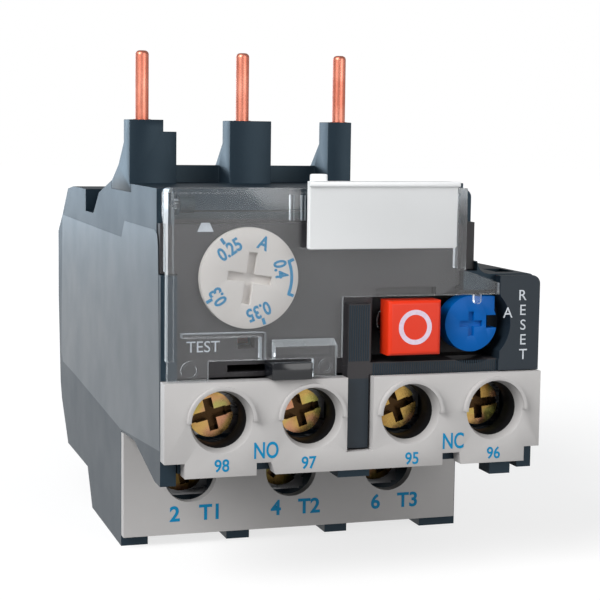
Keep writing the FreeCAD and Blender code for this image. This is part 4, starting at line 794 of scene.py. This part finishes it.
class RELAY_OT_stage(bpy.types.Operator):
    """Set the floor, the lamps, the world and the camera"""
    bl_idname = "relay.stage"
    bl_label = "Stage"

    def execute(self, context):
        self.floor()
        self.world()
        self.lamp("key lamp", (-0.62, -0.36, 0.52), 0.55, 8.0)
        self.lamp("fill lamp", (0.38, -0.80, 0.24), 0.6, 2.8)
        self.lamp("rim lamp", (-0.28, 0.78, 0.16), 0.5, 1.8, (0.62, 0.82, 1.0))
        self.camera()
        return {"FINISHED"}

    def floor(self):
        bpy.ops.object.select_all(action="DESELECT")
        bpy.ops.mesh.primitive_plane_add(size=4, location=(0, 0, FEET))
        floor = bpy.context.object
        floor.name = "floor"
        settle(floor)
        recipe = Recipe("pale floor")
        recipe.set(Base_Color=(0.3, 0.3, 0.3, 1), Roughness=0.9, Specular_IOR_Level=0.0)
        glow = recipe.add("ShaderNodeEmission")
        reach = recipe.add("ShaderNodeVectorMath", operation="LENGTH")
        recipe.join(recipe.place, "Object", reach, "Vector")
        level = recipe.spread(reach, "Value", 0.74, 0.91, 0.06, 0.5)
        rays = recipe.add("ShaderNodeLightPath")
        seen = recipe.add("ShaderNodeMath", operation="MAXIMUM")
        recipe.join(rays, "Is Camera Ray", seen, 0)
        recipe.join(rays, "Is Glossy Ray", seen, 1)
        shown = recipe.add("ShaderNodeMath", operation="MAXIMUM")
        recipe.join(seen, "Value", shown, 0)
        recipe.join(rays, "Is Transmission Ray", shown, 1)
        strength = recipe.add("ShaderNodeMath", operation="MULTIPLY")
        recipe.join(level, "Result", strength, 1)
        recipe.join(shown, "Value", strength, 0)
        recipe.join(strength, "Value", glow, "Strength")
        both = recipe.add("ShaderNodeAddShader")
        recipe.tree.links.new(recipe.shader.outputs["BSDF"], both.inputs[0])
        recipe.tree.links.new(glow.outputs["Emission"], both.inputs[1])
        recipe.tree.links.new(both.outputs["Shader"], recipe.output.inputs["Surface"])
        floor.data.materials.append(recipe.material)

    def world(self):
        world = bpy.data.worlds.new("studio")
        bpy.context.scene.world = world
        world.use_nodes = True
        tree = world.node_tree
        tree.nodes.clear()
        out = tree.nodes.new("ShaderNodeOutputWorld")
        soft = tree.nodes.new("ShaderNodeBackground")
        soft.inputs["Color"].default_value = (1, 1, 1, 1)
        soft.inputs["Strength"].default_value = 0.34
        white = tree.nodes.new("ShaderNodeBackground")
        white.inputs["Color"].default_value = (1, 1, 1, 1)
        white.inputs["Strength"].default_value = 1.0
        rays = tree.nodes.new("ShaderNodeLightPath")
        seen = tree.nodes.new("ShaderNodeMath")
        seen.operation = "MAXIMUM"
        tree.links.new(rays.outputs["Is Camera Ray"], seen.inputs[0])
        tree.links.new(rays.outputs["Is Transmission Ray"], seen.inputs[1])
        mixed = tree.nodes.new("ShaderNodeMixShader")
        tree.links.new(seen.outputs["Value"], mixed.inputs["Fac"])
        tree.links.new(soft.outputs["Background"], mixed.inputs[1])
        tree.links.new(white.outputs["Background"], mixed.inputs[2])
        tree.links.new(mixed.outputs["Shader"], out.inputs["Surface"])

    def lamp(self, name, place, size, power, colour=(1, 1, 1)):
        bpy.ops.object.light_add(type="AREA", location=place)
        lamp = bpy.context.object
        lamp.name = name
        lamp.data.shape = "DISK"
        lamp.data.size = size
        lamp.data.energy = power
        lamp.data.color = colour
        lamp.visible_camera = False
        aim = Vector((0, 0, 0.028)) - Vector(place)
        lamp.rotation_euler = aim.to_track_quat("-Z", "Y").to_euler()

    def camera(self):
        bpy.ops.object.camera_add()
        camera = bpy.context.object
        camera.name = "camera"
        camera.data.sensor_width = 36
        camera.data.lens = 93.389
        camera.data.clip_start = 0.01
        yaw, pitch, roll = math.radians(17.5665), math.radians(6.1196), math.radians(0.7340)
        ahead = Vector((math.sin(yaw) * math.cos(pitch), math.cos(yaw) * math.cos(pitch), -math.sin(pitch)))
        right = Vector((math.cos(yaw), -math.sin(yaw), 0))
        up = right.cross(ahead)
        level_right = right * math.cos(roll) + up * math.sin(roll)
        level_up = up * math.cos(roll) - right * math.sin(roll)
        place = spot(-36.4685, -163.5183, 51.6226)
        camera.matrix_world = Matrix((
            (level_right.x, level_up.x, -ahead.x, place.x),
            (level_right.y, level_up.y, -ahead.y, place.y),
            (level_right.z, level_up.z, -ahead.z, place.z),
            (0, 0, 0, 1)))
        bpy.context.scene.camera = camera
        bpy.context.scene.view_settings.view_transform = "Standard"


class RELAY_PT_panel(bpy.types.Panel):
    bl_idname = "RELAY_PT_panel"
    bl_label = "Thermal overload relay"
    bl_space_type = "VIEW_3D"
    bl_region_type = "UI"
    bl_category = "Relay"

    def draw(self, context):
        for group in (context.scene.relay_sizes, context.scene.relay_colours):
            column = self.layout.column()
            for key in group.bl_rna.properties.keys():
                if key not in ("rna_type", "name"):
                    column.prop(group, key)
        for operator in OPERATORS:
            self.layout.operator(operator.bl_idname)


OPERATORS = (RELAY_OT_housings, RELAY_OT_springs, RELAY_OT_dial, RELAY_OT_print, RELAY_OT_finishes, RELAY_OT_stage)
CLASSES = (RelaySizes, RelayColours, *OPERATORS, RELAY_PT_panel)


def register():
    for item in CLASSES:
        bpy.utils.register_class(item)
    bpy.types.Scene.relay_sizes = PointerProperty(type=RelaySizes)
    bpy.types.Scene.relay_colours = PointerProperty(type=RelayColours)


def unregister():
    del bpy.types.Scene.relay_colours
    del bpy.types.Scene.relay_sizes
    for item in reversed(CLASSES):
        bpy.utils.unregister_class(item)


def main():
    register()
    bpy.ops.relay.housings()
    bpy.ops.relay.springs()
    bpy.ops.relay.dial()
    bpy.ops.relay.print()
    bpy.ops.relay.finishes()
    bpy.ops.relay.stage()


if __name__ == "__main__":
    main()
